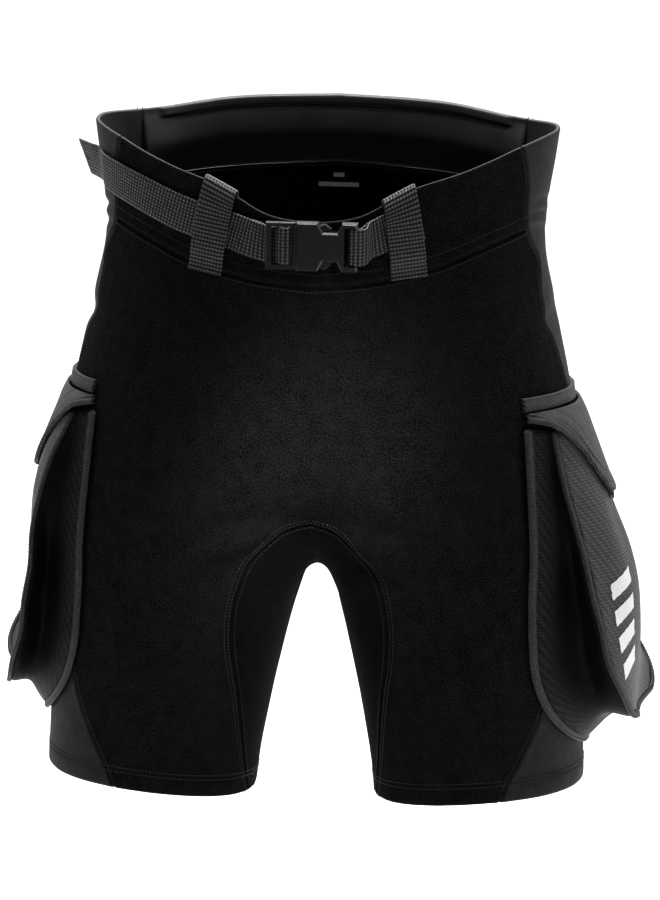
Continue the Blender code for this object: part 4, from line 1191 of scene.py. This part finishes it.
def face_print(pocket, face, cloth):
    """Plain reflective print on the pocket front: a column of slanted bars."""
    rows, columns = PRINT_GRID
    points, faces = [], []
    for bar in range(PRINT_BARS):
        top = PRINT_TOP - bar * PRINT_PITCH
        yy, zz = np.meshgrid(np.linspace(-PRINT_HALF_Y, PRINT_HALF_Y, columns),
                             np.linspace(0, -PRINT_BAR, rows))
        zz = top + zz + PRINT_SLANT * yy
        yy = yy + PRINT_Y
        points.append(stack(0 * yy, yy, zz).reshape(-1, 3))
        faces += grid_quads(rows, columns, bar * rows * columns)
    flat = np.concatenate(points)
    face = face.reshape(-1, 3)
    spot = []
    for y, z in zip(flat[:, 1] + pocket.aft, pocket.level(flat[:, 2])):
        away = np.hypot(face[:, 1] - y, face[:, 2] - z)
        near = np.argsort(away)[:4]
        weight = 1 / (away[near] + 0.05)
        x = (face[near, 0] * weight).sum() / weight.sum()
        spot.append((x + 0.45, y, z))
    spot = np.array(spot)
    obj = add_mesh("pocket_print_" + pocket.suffix, pocket.place(spot), faces,
                   np.zeros(len(faces)), spot[:, 1:], [cloth["print"]])
    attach(obj, "root")


def pockets(cloth):
    thread = Thread()
    for pocket in (Pocket(1, LEFT_EDGE_X, LEFT_MID_X, 0.0, 0.0, 0.0),
                   Pocket(-1, RIGHT_EDGE_X, RIGHT_MID_X, 2.0, 8.0, 7.0)):
        pocket_strip(pocket, cloth, thread)
        pocket_flap(pocket, cloth, thread)
        pocket_tab(pocket, cloth, thread)
        face = pocket_face(pocket, cloth)
        pocket_bellows(pocket, cloth)
        pocket_bindings(pocket, cloth, thread)
        if pocket.side > 0:
            face_print(pocket, face, cloth)
    obj = thread.build("pocket_stitches", cloth["pale_thread"])




# Belt: webbing straps either side of a side-release buckle, lying on the waistband.
WEB = 1.8
WEB_HALF = 12.5
RIB = 2.7
BELT_X = (-165, -151, -135, -115, -93, -68, -50, -36, -24, 0, 28, 40, 50, 62, 84)
BELT_Z = (-10, -16.5, -22, -29.5, -38, -45, -50, -54, -56, -56, -56, -51, -46.5, -42, -36)
BAR_RIGHT_X = -17.5
BAR_LEFT_X = 29.5
BUCKLE_X = 1.6
BUCKLE_Z = -56.0
BUCKLE_Y = -121.0
BAR_ROUND = 3.4
WEB_STEP = 0.42
LOOP_FOOT_Z = -78.0
LOOP_LAP = 2.4
SOFT_EDGE = 0.7


def belt_point(x, lift):
    x = np.asarray(x, float)
    z = through(BELT_X, BELT_Z, x)
    foot = facing(x, z, -1)
    return foot + normal(foot) * np.asarray(lift, float)[..., None]


def round_bar(bar_x, way, count=7):
    """Half turn of webbing round a buckle bar, from the outer layer to the inner."""
    turn = np.radians(np.linspace(90, -90, count))
    return stack(bar_x + way * BAR_ROUND * np.cos(turn), BUCKLE_Y - BAR_ROUND * np.sin(turn),
                 BUCKLE_Z + 0 * turn)


def blend_widths(line, still):
    """Strap width direction: upright at the buckle, square to the path on the body."""
    along = tangents(line)
    off = normal(settle(line))
    square = unit(np.cross(along, off))
    square = square * np.sign(square[:, 2:3])
    up = np.array([0.0, 0.0, 1.0])
    share = np.clip((np.abs(line[:, 0] - BUCKLE_X) - still) / 18.0, 0, 1)[:, None]
    return unit(square * share + up * (1 - share))


def webbing(name, line, width_dir, cloth, skew=0.0, smooth_to=0.0):
    """Ribbed strap along a path; its start can be cut on the skew and smoother."""
    run = np.concatenate([[0], np.cumsum(np.linalg.norm(np.diff(line, axis=0), axis=1))])
    fine = np.arange(0, run[-1], WEB_STEP)
    across = np.array([-1, -0.97, -0.9, -0.8, -0.6, -0.4, -0.2, 0, 0.2, 0.4, 0.6, 0.8, 0.9,
                       0.97, 1.0])
    start = skew * (1 - across) / 2
    place = start[None, :] * np.clip(1 - fine / 40.0, 0, 1)[:, None] + fine[:, None]
    middle = np.stack([through(run, line[:, i], place) for i in range(3)], axis=-1)
    wide = unit(np.stack([through(run, width_dir[:, i], place) for i in range(3)], axis=-1))
    along = unit(np.gradient(middle, axis=0))
    thick = unit(np.cross(wide, along))
    rib = np.abs(np.sin(np.pi * place / RIB))
    fade = np.clip((place - smooth_to) / 4.0, 0.25, 1) if smooth_to else 1.0
    edge = np.sqrt(np.clip(1 - np.abs(across) ** 8, 0, 1))[None, :]
    yarn = 0.06 * np.cos(across * WEB_HALF * 2 * np.pi / 1.6)[None, :]
    rise = (WEB / 2 - 0.25 + 0.5 * rib * fade + yarn * fade) * (0.35 + 0.65 * edge)
    body_line = middle + wide * (across * WEB_HALF)[None, :, None]
    outer = body_line + thick * rise[..., None]
    inner = body_line - thick * rise[..., None]
    uv = np.stack([across[None, :] * WEB_HALF + 0 * place, place], axis=-1)
    patches = [(outer, inner, uv)]
    obj = sheet(name, patches, [cloth["webbing"]] * 3)
    obj.name = name + "_strap"
    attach(obj, "root")
    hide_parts(name)
    return middle, thick


def belt_right(cloth, thread):
    """Strap with the free tail: round the plug's bar, through the loop, past the side."""
    tail_root = belt_point(-158.0, 1.9)
    before = belt_point(-152.0, 1.9)
    run = unit(tail_root - before)
    lean = unit(run + np.array([-0.25, -0.35, 0.0]))
    steps = np.array([22.0, 17.0, 11.0, 5.5])
    tail = tail_root + lean * steps[:, None]
    on_body = belt_point([-158, -150, -140, -128, -116, -104, -92, -80, -68, -60, -53], 1.9)
    over = belt_point([-46, -40], [3.9, 5.2])
    bridge = np.array([[-33.0, BUCKLE_Y + 4.3, -55.0], [-28.3, BUCKLE_Y + 4.0, BUCKLE_Z],
                       [-25.3, BUCKLE_Y + 2.4, BUCKLE_Z], [-22.5, BUCKLE_Y - 0.8, BUCKLE_Z],
                       [-20.0, BUCKLE_Y - 3.0, BUCKLE_Z]])
    turn = round_bar(BAR_RIGHT_X, 1.0)
    under = np.array([[-21.0, BUCKLE_Y + 4.6, BUCKLE_Z], [-25.0, BUCKLE_Y + 6.0, BUCKLE_Z],
                      [-31.0, BUCKLE_Y + 6.6, BUCKLE_Z]])
    back = belt_point([-36, -40, -44], 1.7)
    line = np.concatenate([tail, on_body, over, bridge, turn, under, back])
    middle, thick = webbing("belt_right", line, blend_widths(line, 32.0), cloth,
                            skew=9.0, smooth_to=34.0)
    face = np.sign(-thick[len(thick) // 3, 7, 1])
    for place in (6, 78, 84):
        column = middle[place] + thick[place] * face * 0.85
        thread.row(column[1:-1], thick[place][1:-1] * face, pitch=2.4, long=1.7)


def belt_left(cloth):
    """Short strap from under the left loop, round the socket's bar and back."""
    on_body = belt_point([73, 67, 60, 51.5], 1.9)
    over = belt_point([44.5, 39.5], [3.9, 5.0])
    bridge = np.array([[36.5, BUCKLE_Y - 0.6, BUCKLE_Z + 0.6]])
    turn = round_bar(BAR_LEFT_X, -1.0)
    under = np.array([[32.5, BUCKLE_Y + 5.0, BUCKLE_Z]])
    back = belt_point([37, 43], 1.7)
    line = np.concatenate([on_body, over, bridge, turn, under, back])
    webbing("belt_left", line, blend_widths(line, 36.0), cloth)


def belt_loop(name, top_x, foot_x, cloth, thread):
    """Webbing loop folded over the waistband's edge and sewn down below its seam."""
    rim_x = abs(top_x) + np.array([-12.0, 0.0, 12.0])
    rim_z = through(TOP_TURN, TOP_Z, turn_of(facing(rim_x, -20.0 + 0 * rim_x, -1)))
    top_z = rim_z.mean()
    rim = facing(rim_x, rim_z, -1)
    along_rim = unit(rim[2] - rim[0]) * np.array([1.0, 1.0, np.sign(top_x)])
    along_rim[1] *= np.sign(top_x)
    foot_z = LOOP_FOOT_Z
    inner = -(WALL + LOOP_LAP)
    path = (
        (top_z - 22.0, inner), (top_z - 12.0, inner), (top_z - 2.0, inner),
        (top_z + 2.4, -3.4), (top_z + 2.9, 0.4), (top_z - 1.0, 2.9),
        (top_z - 8.0, 4.3), (top_z - 20.0, 4.7), (top_z - 32.0, 4.7),
        (top_z - 42.0, 4.1), (foot_z + 9.0, 2.4), (foot_z + 5.0, 1.6), (foot_z, 1.6),
    )
    levels = np.array([z for z, _ in path], float)
    lifts = np.array([d for _, d in path], float)
    share = (top_z - levels) / (top_z - foot_z)
    xs = top_x + (foot_x - top_x) * share
    foot = facing(np.abs(xs), np.minimum(levels, top_z - 1.0), -1)
    off = normal(foot)
    line = foot + off * lifts[:, None]
    line[:, 2] = levels
    line[:, 0] *= np.sign(top_x)
    off[:, 0] *= np.sign(top_x)
    run = unit(np.array([foot_x - top_x, 0.0, foot_z - top_z]))
    square = unit(np.cross(off, run))
    square = square * np.sign(square[:, :1])
    settled = np.clip((top_z - levels - 3.0) / 18.0, 0, 1)[:, None]
    settled[:3] = 0
    widths = unit(along_rim * (1 - settled) + square * settled)
    middle, thick = webbing(name, line, widths, cloth)
    for back_from_end in (6, 12, 18):
        place = len(middle) - 1 - back_from_end
        face = np.sign(-thick[place, 7, 1])
        column = middle[place] + thick[place] * face * 0.95
        thread.row(column[1:-1], thick[place][1:-1] * face, pitch=2.6, long=1.9)


def buckle(nodes, cloth):
    """The frame's own buckle halves, with softened edges."""
    for node in ("buckle_plug", "buckle_socket"):
        obj = nodes[node]
        obj.data.materials.clear()
        obj.data.materials.append(cloth["plastic"])
        bevel = obj.modifiers.new("soft edges", "BEVEL")
        bevel.width = SOFT_EDGE * MM
        bevel.segments = 3
        bevel.limit_method = "ANGLE"
        bevel.angle_limit = math.radians(25)
        bevel.harden_normals = True


def belt(nodes, cloth):
    """Both straps, both loops, their stitching and the buckle."""
    thread = Thread()
    belt_right(cloth, thread)
    belt_left(cloth)
    belt_loop("belt_loop_right", -64.0, -74.0, cloth, thread)
    belt_loop("belt_loop_left", 58.0, 66.0, cloth, thread)
    obj = thread.build("belt_stitches", cloth["thread"])
    buckle(nodes, cloth)


# Darkest and lightest grey of each cloth, as Blender's linear colour.
FLEECE = (0.001, 0.0165)
LINING = (0.0006, 0.003)
SKIN = (0.004, 0.010)
CUT_EDGE = (0.03, 0.075)
KNIT = (0.008, 0.019)
STRETCH = (0.001, 0.007)
TWILL = (0.005, 0.052)
FACE_MESH = (0.022, 0.075)
# Bellows mesh: a darker copy of the face mesh, partly its own tone and partly painted shade of the
# pocket's sides.
SIDE_MESH_WITH_SHADE = (0.003, 0.024)
TAPE = (0.004, 0.028)
# Webbing: from the painted shade of the rib valleys to the painted highlight of the rib crests.
WEB_VALLEY_SHADE_TO_CREST_HIGHLIGHT = (0.001, 0.115)
PLASTIC = (0.006, 0.010)
BLACK_THREAD = (0.006, 0.02)
GREY_THREAD = (0.02, 0.05)
WHITE_PRINT = (0.7, 0.95)
GREY_PRINT = (0.3, 0.5)
PAPER = (0.88, 0.90)
MESH_PITCH = 2.8
# Painted shade of the bellows pleat: where it begins across the bellows, in millimetres, and how far
# it takes to deepen.
PAINTED_PLEAT_SHADE_FROM = 6.0
PAINTED_PLEAT_SHADE_FADE = 14.0




class Nodes:
    """One material's node tree, built a node at a time on the "cloth" UV map."""

    def __init__(self, name):
        self.material = bpy.data.materials.new(name)
        self.material.use_nodes = True
        self.tree = self.material.node_tree
        self.shader = self.tree.nodes["Principled BSDF"]
        self.uv = self.add("ShaderNodeUVMap", uv_map="cloth").outputs[0]
        self.relief = None

    def add(self, kind, **settings):
        node = self.tree.nodes.new(kind)
        for key, value in settings.items():
            setattr(node, key, value)
        return node

    def feed(self, socket, value):
        if isinstance(value, bpy.types.NodeSocket):
            self.tree.links.new(value, socket)
        else:
            socket.default_value = value

    def math(self, operation, *values):
        node = self.add("ShaderNodeMath", operation=operation)
        for socket, value in zip(node.inputs, values):
            self.feed(socket, value)
        return node.outputs[0]

    def axis(self, across, down):
        """Place along a direction of the cloth, in metres."""
        node = self.add("ShaderNodeVectorMath", operation="DOT_PRODUCT")
        self.feed(node.inputs[0], self.uv)
        node.inputs[1].default_value = (across, down, 0.0)
        return node.outputs["Value"]

    def wave(self, across, down, pitch, phase=0.0):
        """Sine from -1 to 1 that repeats each pitch of millimetres along a direction."""
        turn = self.math("MULTIPLY_ADD", self.axis(across, down), 2 * math.pi / (pitch * MM), phase)
        return self.math("SINE", turn)

    def noise(self, size, detail=3.0, stretch=(1.0, 1.0), solid=False):
        """Soft noise from 0 to 1 whose features are about this many millimetres wide."""
        mapping = self.add("ShaderNodeMapping")
        place = self.add("ShaderNodeTexCoord").outputs["Object"] if solid else self.uv
        self.feed(mapping.inputs["Vector"], place)
        mapping.inputs["Scale"].default_value = (stretch[0], stretch[1], 1.0)
        node = self.add("ShaderNodeTexNoise")
        self.feed(node.inputs["Vector"], mapping.outputs[0])
        node.inputs["Scale"].default_value = 1.0 / (size * MM)
        node.inputs["Detail"].default_value = detail
        return node.outputs["Fac"]

    def blend(self, share, low, high):
        """Colour between two greys or colours, by a share from 0 to 1."""
        node = self.add("ShaderNodeMix", data_type="RGBA")
        self.feed(node.inputs["Factor"], share)
        self.feed(node.inputs[6], grey(low))
        self.feed(node.inputs[7], grey(high))
        return node.outputs[2]

    def spread(self, value, low, high):
        """Share from 0 to 1 of a value between two limits."""
        node = self.add("ShaderNodeMapRange")
        self.feed(node.inputs["Value"], value)
        node.inputs["From Min"].default_value = low
        node.inputs["From Max"].default_value = high
        return node.outputs["Result"]

    def bump(self, height, depth):
        """Relief of this many millimetres, over what was already there."""
        node = self.add("ShaderNodeBump")
        node.inputs["Strength"].default_value = 1.0
        node.inputs["Distance"].default_value = depth * MM
        self.feed(node.inputs["Height"], height)
        if self.relief:
            self.feed(node.inputs["Normal"], self.relief)
        self.relief = node.outputs["Normal"]
        self.feed(self.shader.inputs["Normal"], self.relief)

    def set(self, **values):
        """Feeds the shader's sockets, whose names have spaces for underscores."""
        for key, value in values.items():
            self.feed(self.shader.inputs[key.replace("_", " ")], value)

    def done(self):
        return self.material


def grey(value):
    """Colour for a socket, from a brightness, three parts or another node."""
    if isinstance(value, bpy.types.NodeSocket):
        return value
    if isinstance(value, tuple):
        return value + (1.0,)
    return (value, value, value * 1.02, 1.0)


def fleece():
    """Matte brushed jersey laminated on neoprene: short heathered fibres."""
    n = Nodes("neoprene_fleece")
    fibre = n.noise(1.2, 5.0)
    blotch = n.noise(9.0, 3.0, solid=True)
    mixed = n.math("MULTIPLY_ADD", blotch, 0.18, n.math("MULTIPLY", fibre, 0.82))
    n.set(Base_Color=n.blend(n.spread(mixed, 0.38, 0.66), *FLEECE),
          Roughness=0.95, Specular_IOR_Level=0.02)
    n.bump(fibre, 0.16)
    n.bump(n.noise(3.4, 2.0, solid=True), 0.22)
    return n.done()


def lining():
    """Black jersey on the inner face, with fine upright knit ribs."""
    n = Nodes("neoprene_lining")
    rib = n.wave(1, 0, 0.9)
    fibre = n.noise(0.9, 3.0)
    n.set(Base_Color=n.blend(fibre, *LINING), Roughness=0.9, Specular_IOR_Level=0.05)
    n.bump(rib, 0.05)
    n.bump(fibre, 0.06)
    return n.done()


def smooth_skin():
    """Smooth black neoprene face inside the back, with a faint satin bloom."""
    n = Nodes("neoprene_skin")
    cloudy = n.noise(22.0, 3.0, solid=True)
    n.set(Base_Color=n.blend(cloudy, *SKIN),
          Roughness=n.spread(n.math("MULTIPLY_ADD", cloudy, 0.2, 0.33), 0.0, 1.0),
          Specular_IOR_Level=0.35)
    n.bump(n.noise(1.4, 3.0), 0.03)
    n.bump(n.noise(12.0, 2.0, solid=True), 0.25)
    return n.done()


def cut_edge():
    """Foam core and cloth seen at a cut or bound edge."""
    n = Nodes("neoprene_edge")
    fibre = n.noise(0.5, 3.0, solid=True)
    n.set(Base_Color=n.blend(fibre, *CUT_EDGE), Roughness=0.85, Specular_IOR_Level=0.2)
    n.bump(fibre, 0.08)
    return n.done()


def side_knit():
    """Smooth, slightly lustrous two-way jersey of the side panels."""
    n = Nodes("side_knit")
    column = n.wave(1, 0, 0.85)
    course = n.wave(0, 1, 0.7)
    stitch = n.math("MULTIPLY_ADD", column, 0.6, n.math("MULTIPLY", course, 0.4))
    cloudy = n.noise(9.0, 3.0, solid=True)
    shade = n.math("MULTIPLY_ADD", stitch, 0.12, cloudy)
    n.set(Base_Color=n.blend(n.spread(shade, 0.3, 0.72), *KNIT), Roughness=0.7,
          Specular_IOR_Level=0.12, Sheen_Weight=0.02, Sheen_Roughness=0.35)
    n.bump(stitch, 0.045)
    n.bump(n.noise(3.2, 2.0), 0.06)
    return n.done()


def stretch_panel():
    """Four-way stretch jersey of the gusset, with fine diagonal courses."""
    n = Nodes("stretch_gusset")
    one = n.wave(0.7, 0.7, 1.6)
    two = n.wave(0.7, -0.7, 1.6)
    stitch = n.math("MULTIPLY", one, two)
    cloudy = n.noise(8.0, 3.0, solid=True)
    n.set(Base_Color=n.blend(n.math("MULTIPLY_ADD", stitch, 0.4, cloudy), *STRETCH),
          Roughness=0.9, Specular_IOR_Level=0.03)
    n.bump(stitch, 0.12)
    return n.done()


def twill():
    """Woven twill of the pocket flap and strip: steep parallel diagonals."""
    n = Nodes("twill")
    diagonal = n.wave(0.8, 0.6, 2.2)
    cross = n.wave(0.6, -0.8, 1.6)
    weave = n.math("MULTIPLY_ADD", cross, 0.25, n.math("MULTIPLY", diagonal, 0.75))
    cloudy = n.noise(6.0, 3.0, solid=True)
    shade = n.math("MULTIPLY_ADD", weave, 0.5, cloudy)
    n.set(Base_Color=n.blend(n.spread(shade, 0.25, 0.75), *TWILL), Roughness=0.68,
          Specular_IOR_Level=0.35, Sheen_Weight=0.04)
    n.bump(weave, 0.3)
    n.bump(n.noise(0.5, 3.0), 0.05)
    return n.done()


def pocket_mesh(name, greys, gloss, painted_pleat_shade_from=0.0):
    """Heavy pocket mesh: staggered eyelets between the crossing ribs of the knit.

    Past the given millimetres across, the colour darkens with painted shade where the cloth turns
    into the pleat: the fold's shadow painted in.
    """
    dark, light = greys
    n = Nodes(name)
    crossing = n.math("MULTIPLY", n.wave(0.8, 0.6, MESH_PITCH), n.wave(0.8, -0.6, MESH_PITCH))
    hole = n.spread(crossing, 0.05, 0.5)
    rib = n.math("MULTIPLY_ADD", n.wave(0.8, 0.6, 2 * MESH_PITCH), 0.25, n.noise(3.0, 2.0))
    cloth_shade = n.blend(n.spread(rib, 0.2, 0.8), dark, light)
    if painted_pleat_shade_from:
        # Painted shade: the mesh darkens across the bellows towards the pleat, where the fold lies
        # in shadow.
        across = n.math("ABSOLUTE", n.axis(1, 0))
        pleat = n.spread(across, painted_pleat_shade_from * MM, (painted_pleat_shade_from + PAINTED_PLEAT_SHADE_FADE) * MM)
        cloth_shade = n.blend(pleat, cloth_shade, dark * 0.08)
    n.set(Base_Color=n.blend(hole, cloth_shade, dark * 0.05), Roughness=0.55,
          Specular_IOR_Level=gloss)
    n.bump(n.math("SUBTRACT", 1.0, hole), 0.4)
    n.bump(n.noise(7.0, 2.0, solid=True), 0.3)
    return n.done()


def tape():
    """Grosgrain binding tape: close cross ribs."""
    n = Nodes("binding_tape")
    rib = n.wave(0, 1, 1.8)
    shade = n.math("MULTIPLY_ADD", rib, 0.25, n.noise(4.0, 2.0, solid=True))
    n.set(Base_Color=n.blend(n.spread(shade, 0.2, 0.8), *TAPE), Roughness=0.6,
          Specular_IOR_Level=0.4)
    n.bump(rib, 0.10)
    return n.done()


def webbing_yarn():
    """Nylon webbing: yarns broken along each rib, with painted highlight on the rib crests and
    painted shade in the valleys between them.
    """
    n = Nodes("webbing")
    yarn = n.wave(1, 0, 2.3)
    rib = n.math("ABSOLUTE", n.wave(0, 1, 2 * RIB))
    # Painted highlight on each rib's crest and painted shade in the valleys, over the real
    # broken-yarn pattern.
    painted_crest_highlight = n.spread(rib, 0.55, 0.95)
    yarn_and_crest_highlight = n.math("MULTIPLY", n.math("MULTIPLY_ADD", n.spread(yarn, -0.7, 0.5), 0.72, 0.28), painted_crest_highlight)
    shade = n.math("MULTIPLY", yarn_and_crest_highlight, n.math("MULTIPLY_ADD", n.noise(1.8, 3.0), 0.9, 0.5))
    n.set(Base_Color=n.blend(shade, *WEB_VALLEY_SHADE_TO_CREST_HIGHLIGHT), Roughness=0.5,
          Specular_IOR_Level=0.3)
    n.bump(yarn, 0.14)
    n.bump(n.noise(0.4, 2.0), 0.04)
    return n.done()


def satin_plastic():
    """Moulded acetal of the buckle: satin, with a fine moulded grain."""
    n = Nodes("satin_plastic")
    grain = n.noise(0.35, 3.0, solid=True)
    broad = n.noise(14.0, 2.0, solid=True)
    n.set(Base_Color=n.blend(broad, *PLASTIC),
          Roughness=n.spread(n.math("MULTIPLY_ADD", grain, 0.2, 0.2), 0.0, 1.0),
          Specular_IOR_Level=0.42)
    n.bump(grain, 0.015)
    return n.done()


def sewing_thread(name, greys):
    """Polyester sewing thread, twisted from plies."""
    n = Nodes(name)
    ply = n.noise(0.25, 2.0, solid=True)
    n.set(Base_Color=n.blend(ply, *greys), Roughness=0.55, Specular_IOR_Level=0.25)
    n.bump(ply, 0.04)
    return n.done()


def pale_print(name, greys):
    """Soft print that shows the texture of the cloth under it a little."""
    n = Nodes(name)
    worn = n.noise(1.2, 4.0, solid=True)
    n.set(Base_Color=n.blend(n.spread(worn, 0.2, 0.5), *greys), Roughness=0.5)
    n.bump(worn, 0.08)
    return n.done()


def studio_floor():
    """Plain pale paper sweep."""
    n = Nodes("studio_paper")
    n.set(Base_Color=n.blend(n.noise(900.0, 1.0, solid=True), *PAPER), Roughness=0.9,
          Specular_IOR_Level=0.1)
    return n.done()


def materials():
    """Every material of the garment, by the short name that the pieces use."""
    return {
        "fleece": fleece(),
        "lining": lining(),
        "skin": smooth_skin(),
        "cut": cut_edge(),
        "knit": side_knit(),
        "stretch": stretch_panel(),
        "twill": twill(),
        "mesh": pocket_mesh("pocket_mesh", FACE_MESH, 0.4),
        # The bellows mesh is a darker copy of the face mesh: partly painted shade, with more painted
        # shade towards its pleat.
        "side_mesh_shaded": pocket_mesh("bellows_mesh_shaded", SIDE_MESH_WITH_SHADE, 0.10, PAINTED_PLEAT_SHADE_FROM),
        "tape": tape(),
        "webbing": webbing_yarn(),
        "plastic": satin_plastic(),
        "thread": sewing_thread("black_thread", BLACK_THREAD),
        "pale_thread": sewing_thread("grey_thread", GREY_THREAD),
        "print": pale_print("pocket_print", WHITE_PRINT),
        "label": pale_print("label_print", GREY_PRINT),
    }


# Plain label bars inside: middle and half width, top level and height.
INNER_BARS = ((0.0, 4.0, -30.0, 3.0), (0.0, 15.0, -37.0, 3.2))
LABEL_GRID = (3, 9)

# The studio is in metres.
FLOOR_HALF = 30.0
FLOOR_NEAR = -12.0
FLOOR_Z = -0.56
WORLD_STRENGTH = 0.06
# Name, place, aim, size in metres, beam in degrees and watts of each lamp.
LAMPS = (
    ("key_above", (0.2, -1.5, 1.5), (0, 0, -0.15), (1.3, 0.9), 160, 1.9),
    ("front_pool", (0.35, -1.15, 0.75), (0.0, -0.1, -0.225), (0.08, 0.08), 8, 0.11),
    ("strip_left", (-1.5, -0.8, 0.0), (0, 0, -0.25), (0.4, 1.5), 160, 1.0),
    ("strip_right", (1.6, -0.3, 0.1), (0, 0, -0.2), (0.5, 1.5), 160, 3.2),
    ("over_waist", (0.0, 0.06, 1.2), (0, 0.1, 0.0), (0.7, 0.3), 70, 6.0),
    ("far_wash", (0, 9.5, 4.0), (0, 9.6, -0.6), (18.0, 15.0), 180, 1500.0),
    ("floor_wash", (0, 1.5, 1.5), (0, 1.55, -0.6), (4.0, 1.6), 180, 85.0),
)
# Camera: place by distance and angles in degrees from its target, lens in millimetres.
VIEW_TARGET = (0.0, 0.0, -0.215)
VIEW_DISTANCE = 2.8
VIEW_AZIMUTH = 4.5
VIEW_ELEVATION = 10.0
VIEW_ROLL = 1.1
LENS = 156.8
SENSOR_HEIGHT = 36.0
SHIFT_X = 0.00944
SHIFT_Y = -0.00333


def inner_print(cloth):
    """Plain printed label bars inside the back waistband."""
    rows, columns = LABEL_GRID
    points, faces = [], []
    for bar, (middle, half, top, tall) in enumerate(INNER_BARS):
        turn = np.linspace(middle - half, middle + half, columns)
        levels = top - tall * np.linspace(0, 1, rows)
        xs = turn[None, :] + 0 * levels[:, None]
        zs = levels[:, None] + 0 * xs
        foot = facing(xs, zs, 1)
        out = normal(foot)
        rise = 0.8 * (creases(foot) + uneven(foot)) - WALL - 0.12
        points.append((foot + out * rise[..., None]).reshape(-1, 3))
        faces += grid_quads(rows, columns, bar * rows * columns)
    flat = np.concatenate(points)
    obj = add_mesh("inner_print", flat, faces, np.zeros(len(faces)), flat[:, [0, 2]],
                   [cloth["label"]])
    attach(obj, "root")


def paper_floor(paper):
    """Pale paper floor a little below the hems."""
    points = [(-FLOOR_HALF, FLOOR_NEAR, FLOOR_Z), (FLOOR_HALF, FLOOR_NEAR, FLOOR_Z),
              (FLOOR_HALF, FLOOR_HALF, FLOOR_Z), (-FLOOR_HALF, FLOOR_HALF, FLOOR_Z)]
    mesh = bpy.data.meshes.new("studio_floor")
    mesh.from_pydata(points, [], [(0, 1, 2, 3)])
    mesh.materials.append(paper)
    floor = bpy.data.objects.new("studio_floor", mesh)
    bpy.context.scene.collection.objects.link(floor)


def studio(paper):
    """Paper floor, dim surroundings and soft lamps."""
    paper_floor(paper)
    world = bpy.data.worlds.new("studio")
    world.use_nodes = True
    sky = world.node_tree.nodes["Background"]
    sky.inputs["Color"].default_value = (1.0, 1.0, 1.0, 1.0)
    sky.inputs["Strength"].default_value = WORLD_STRENGTH
    bpy.context.scene.world = world
    for name, place, aim, size, beam, power in LAMPS:
        light = bpy.data.lights.new(name, "AREA")
        light.shape = "RECTANGLE"
        light.size, light.size_y = size
        light.spread = math.radians(beam)
        light.energy = power
        lamp = bpy.data.objects.new(name, light)
        lamp.location = place
        lamp.rotation_euler = (Vector(aim) - Vector(place)).to_track_quat("-Z", "Y").to_euler()
        bpy.context.scene.collection.objects.link(lamp)


def camera():
    """Camera a little above the waist, slightly to the wearer's left."""
    azimuth = math.radians(VIEW_AZIMUTH)
    rise = math.radians(VIEW_ELEVATION)
    back = Vector((math.sin(azimuth) * math.cos(rise), -math.cos(azimuth) * math.cos(rise),
                   math.sin(rise)))
    right = Vector((math.cos(azimuth), math.sin(azimuth), 0))
    up = back.cross(right)
    turn = math.radians(VIEW_ROLL)
    across = right * math.cos(turn) + up * math.sin(turn)
    upright = up * math.cos(turn) - right * math.sin(turn)
    place = Vector(VIEW_TARGET) + back * VIEW_DISTANCE
    data = bpy.data.cameras.new("camera")
    data.sensor_fit = "VERTICAL"
    data.sensor_height = SENSOR_HEIGHT
    data.lens = LENS
    data.shift_x = SHIFT_X
    data.shift_y = SHIFT_Y
    eye = bpy.data.objects.new("camera", data)
    eye.matrix_world = Matrix((
        (across.x, upright.x, back.x, place.x),
        (across.y, upright.y, back.y, place.y),
        (across.z, upright.z, back.z, place.z),
        (0, 0, 0, 1)))
    bpy.context.scene.collection.objects.link(eye)
    bpy.context.scene.camera = eye


def build(frame):
    cloth = materials()
    body_stitches(body(cloth), cloth)
    pockets(cloth)
    belt(frame["nodes"], cloth)
    inner_print(cloth)
    studio(studio_floor())
    camera()
    bpy.context.scene.view_settings.view_transform = "Standard"


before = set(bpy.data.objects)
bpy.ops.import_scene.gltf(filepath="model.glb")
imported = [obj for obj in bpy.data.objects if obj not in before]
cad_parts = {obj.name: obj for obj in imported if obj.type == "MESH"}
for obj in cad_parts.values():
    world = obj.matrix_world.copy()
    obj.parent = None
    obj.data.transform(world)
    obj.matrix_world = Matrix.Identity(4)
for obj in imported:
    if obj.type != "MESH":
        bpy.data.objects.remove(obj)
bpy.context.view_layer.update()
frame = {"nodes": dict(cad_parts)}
build(frame)
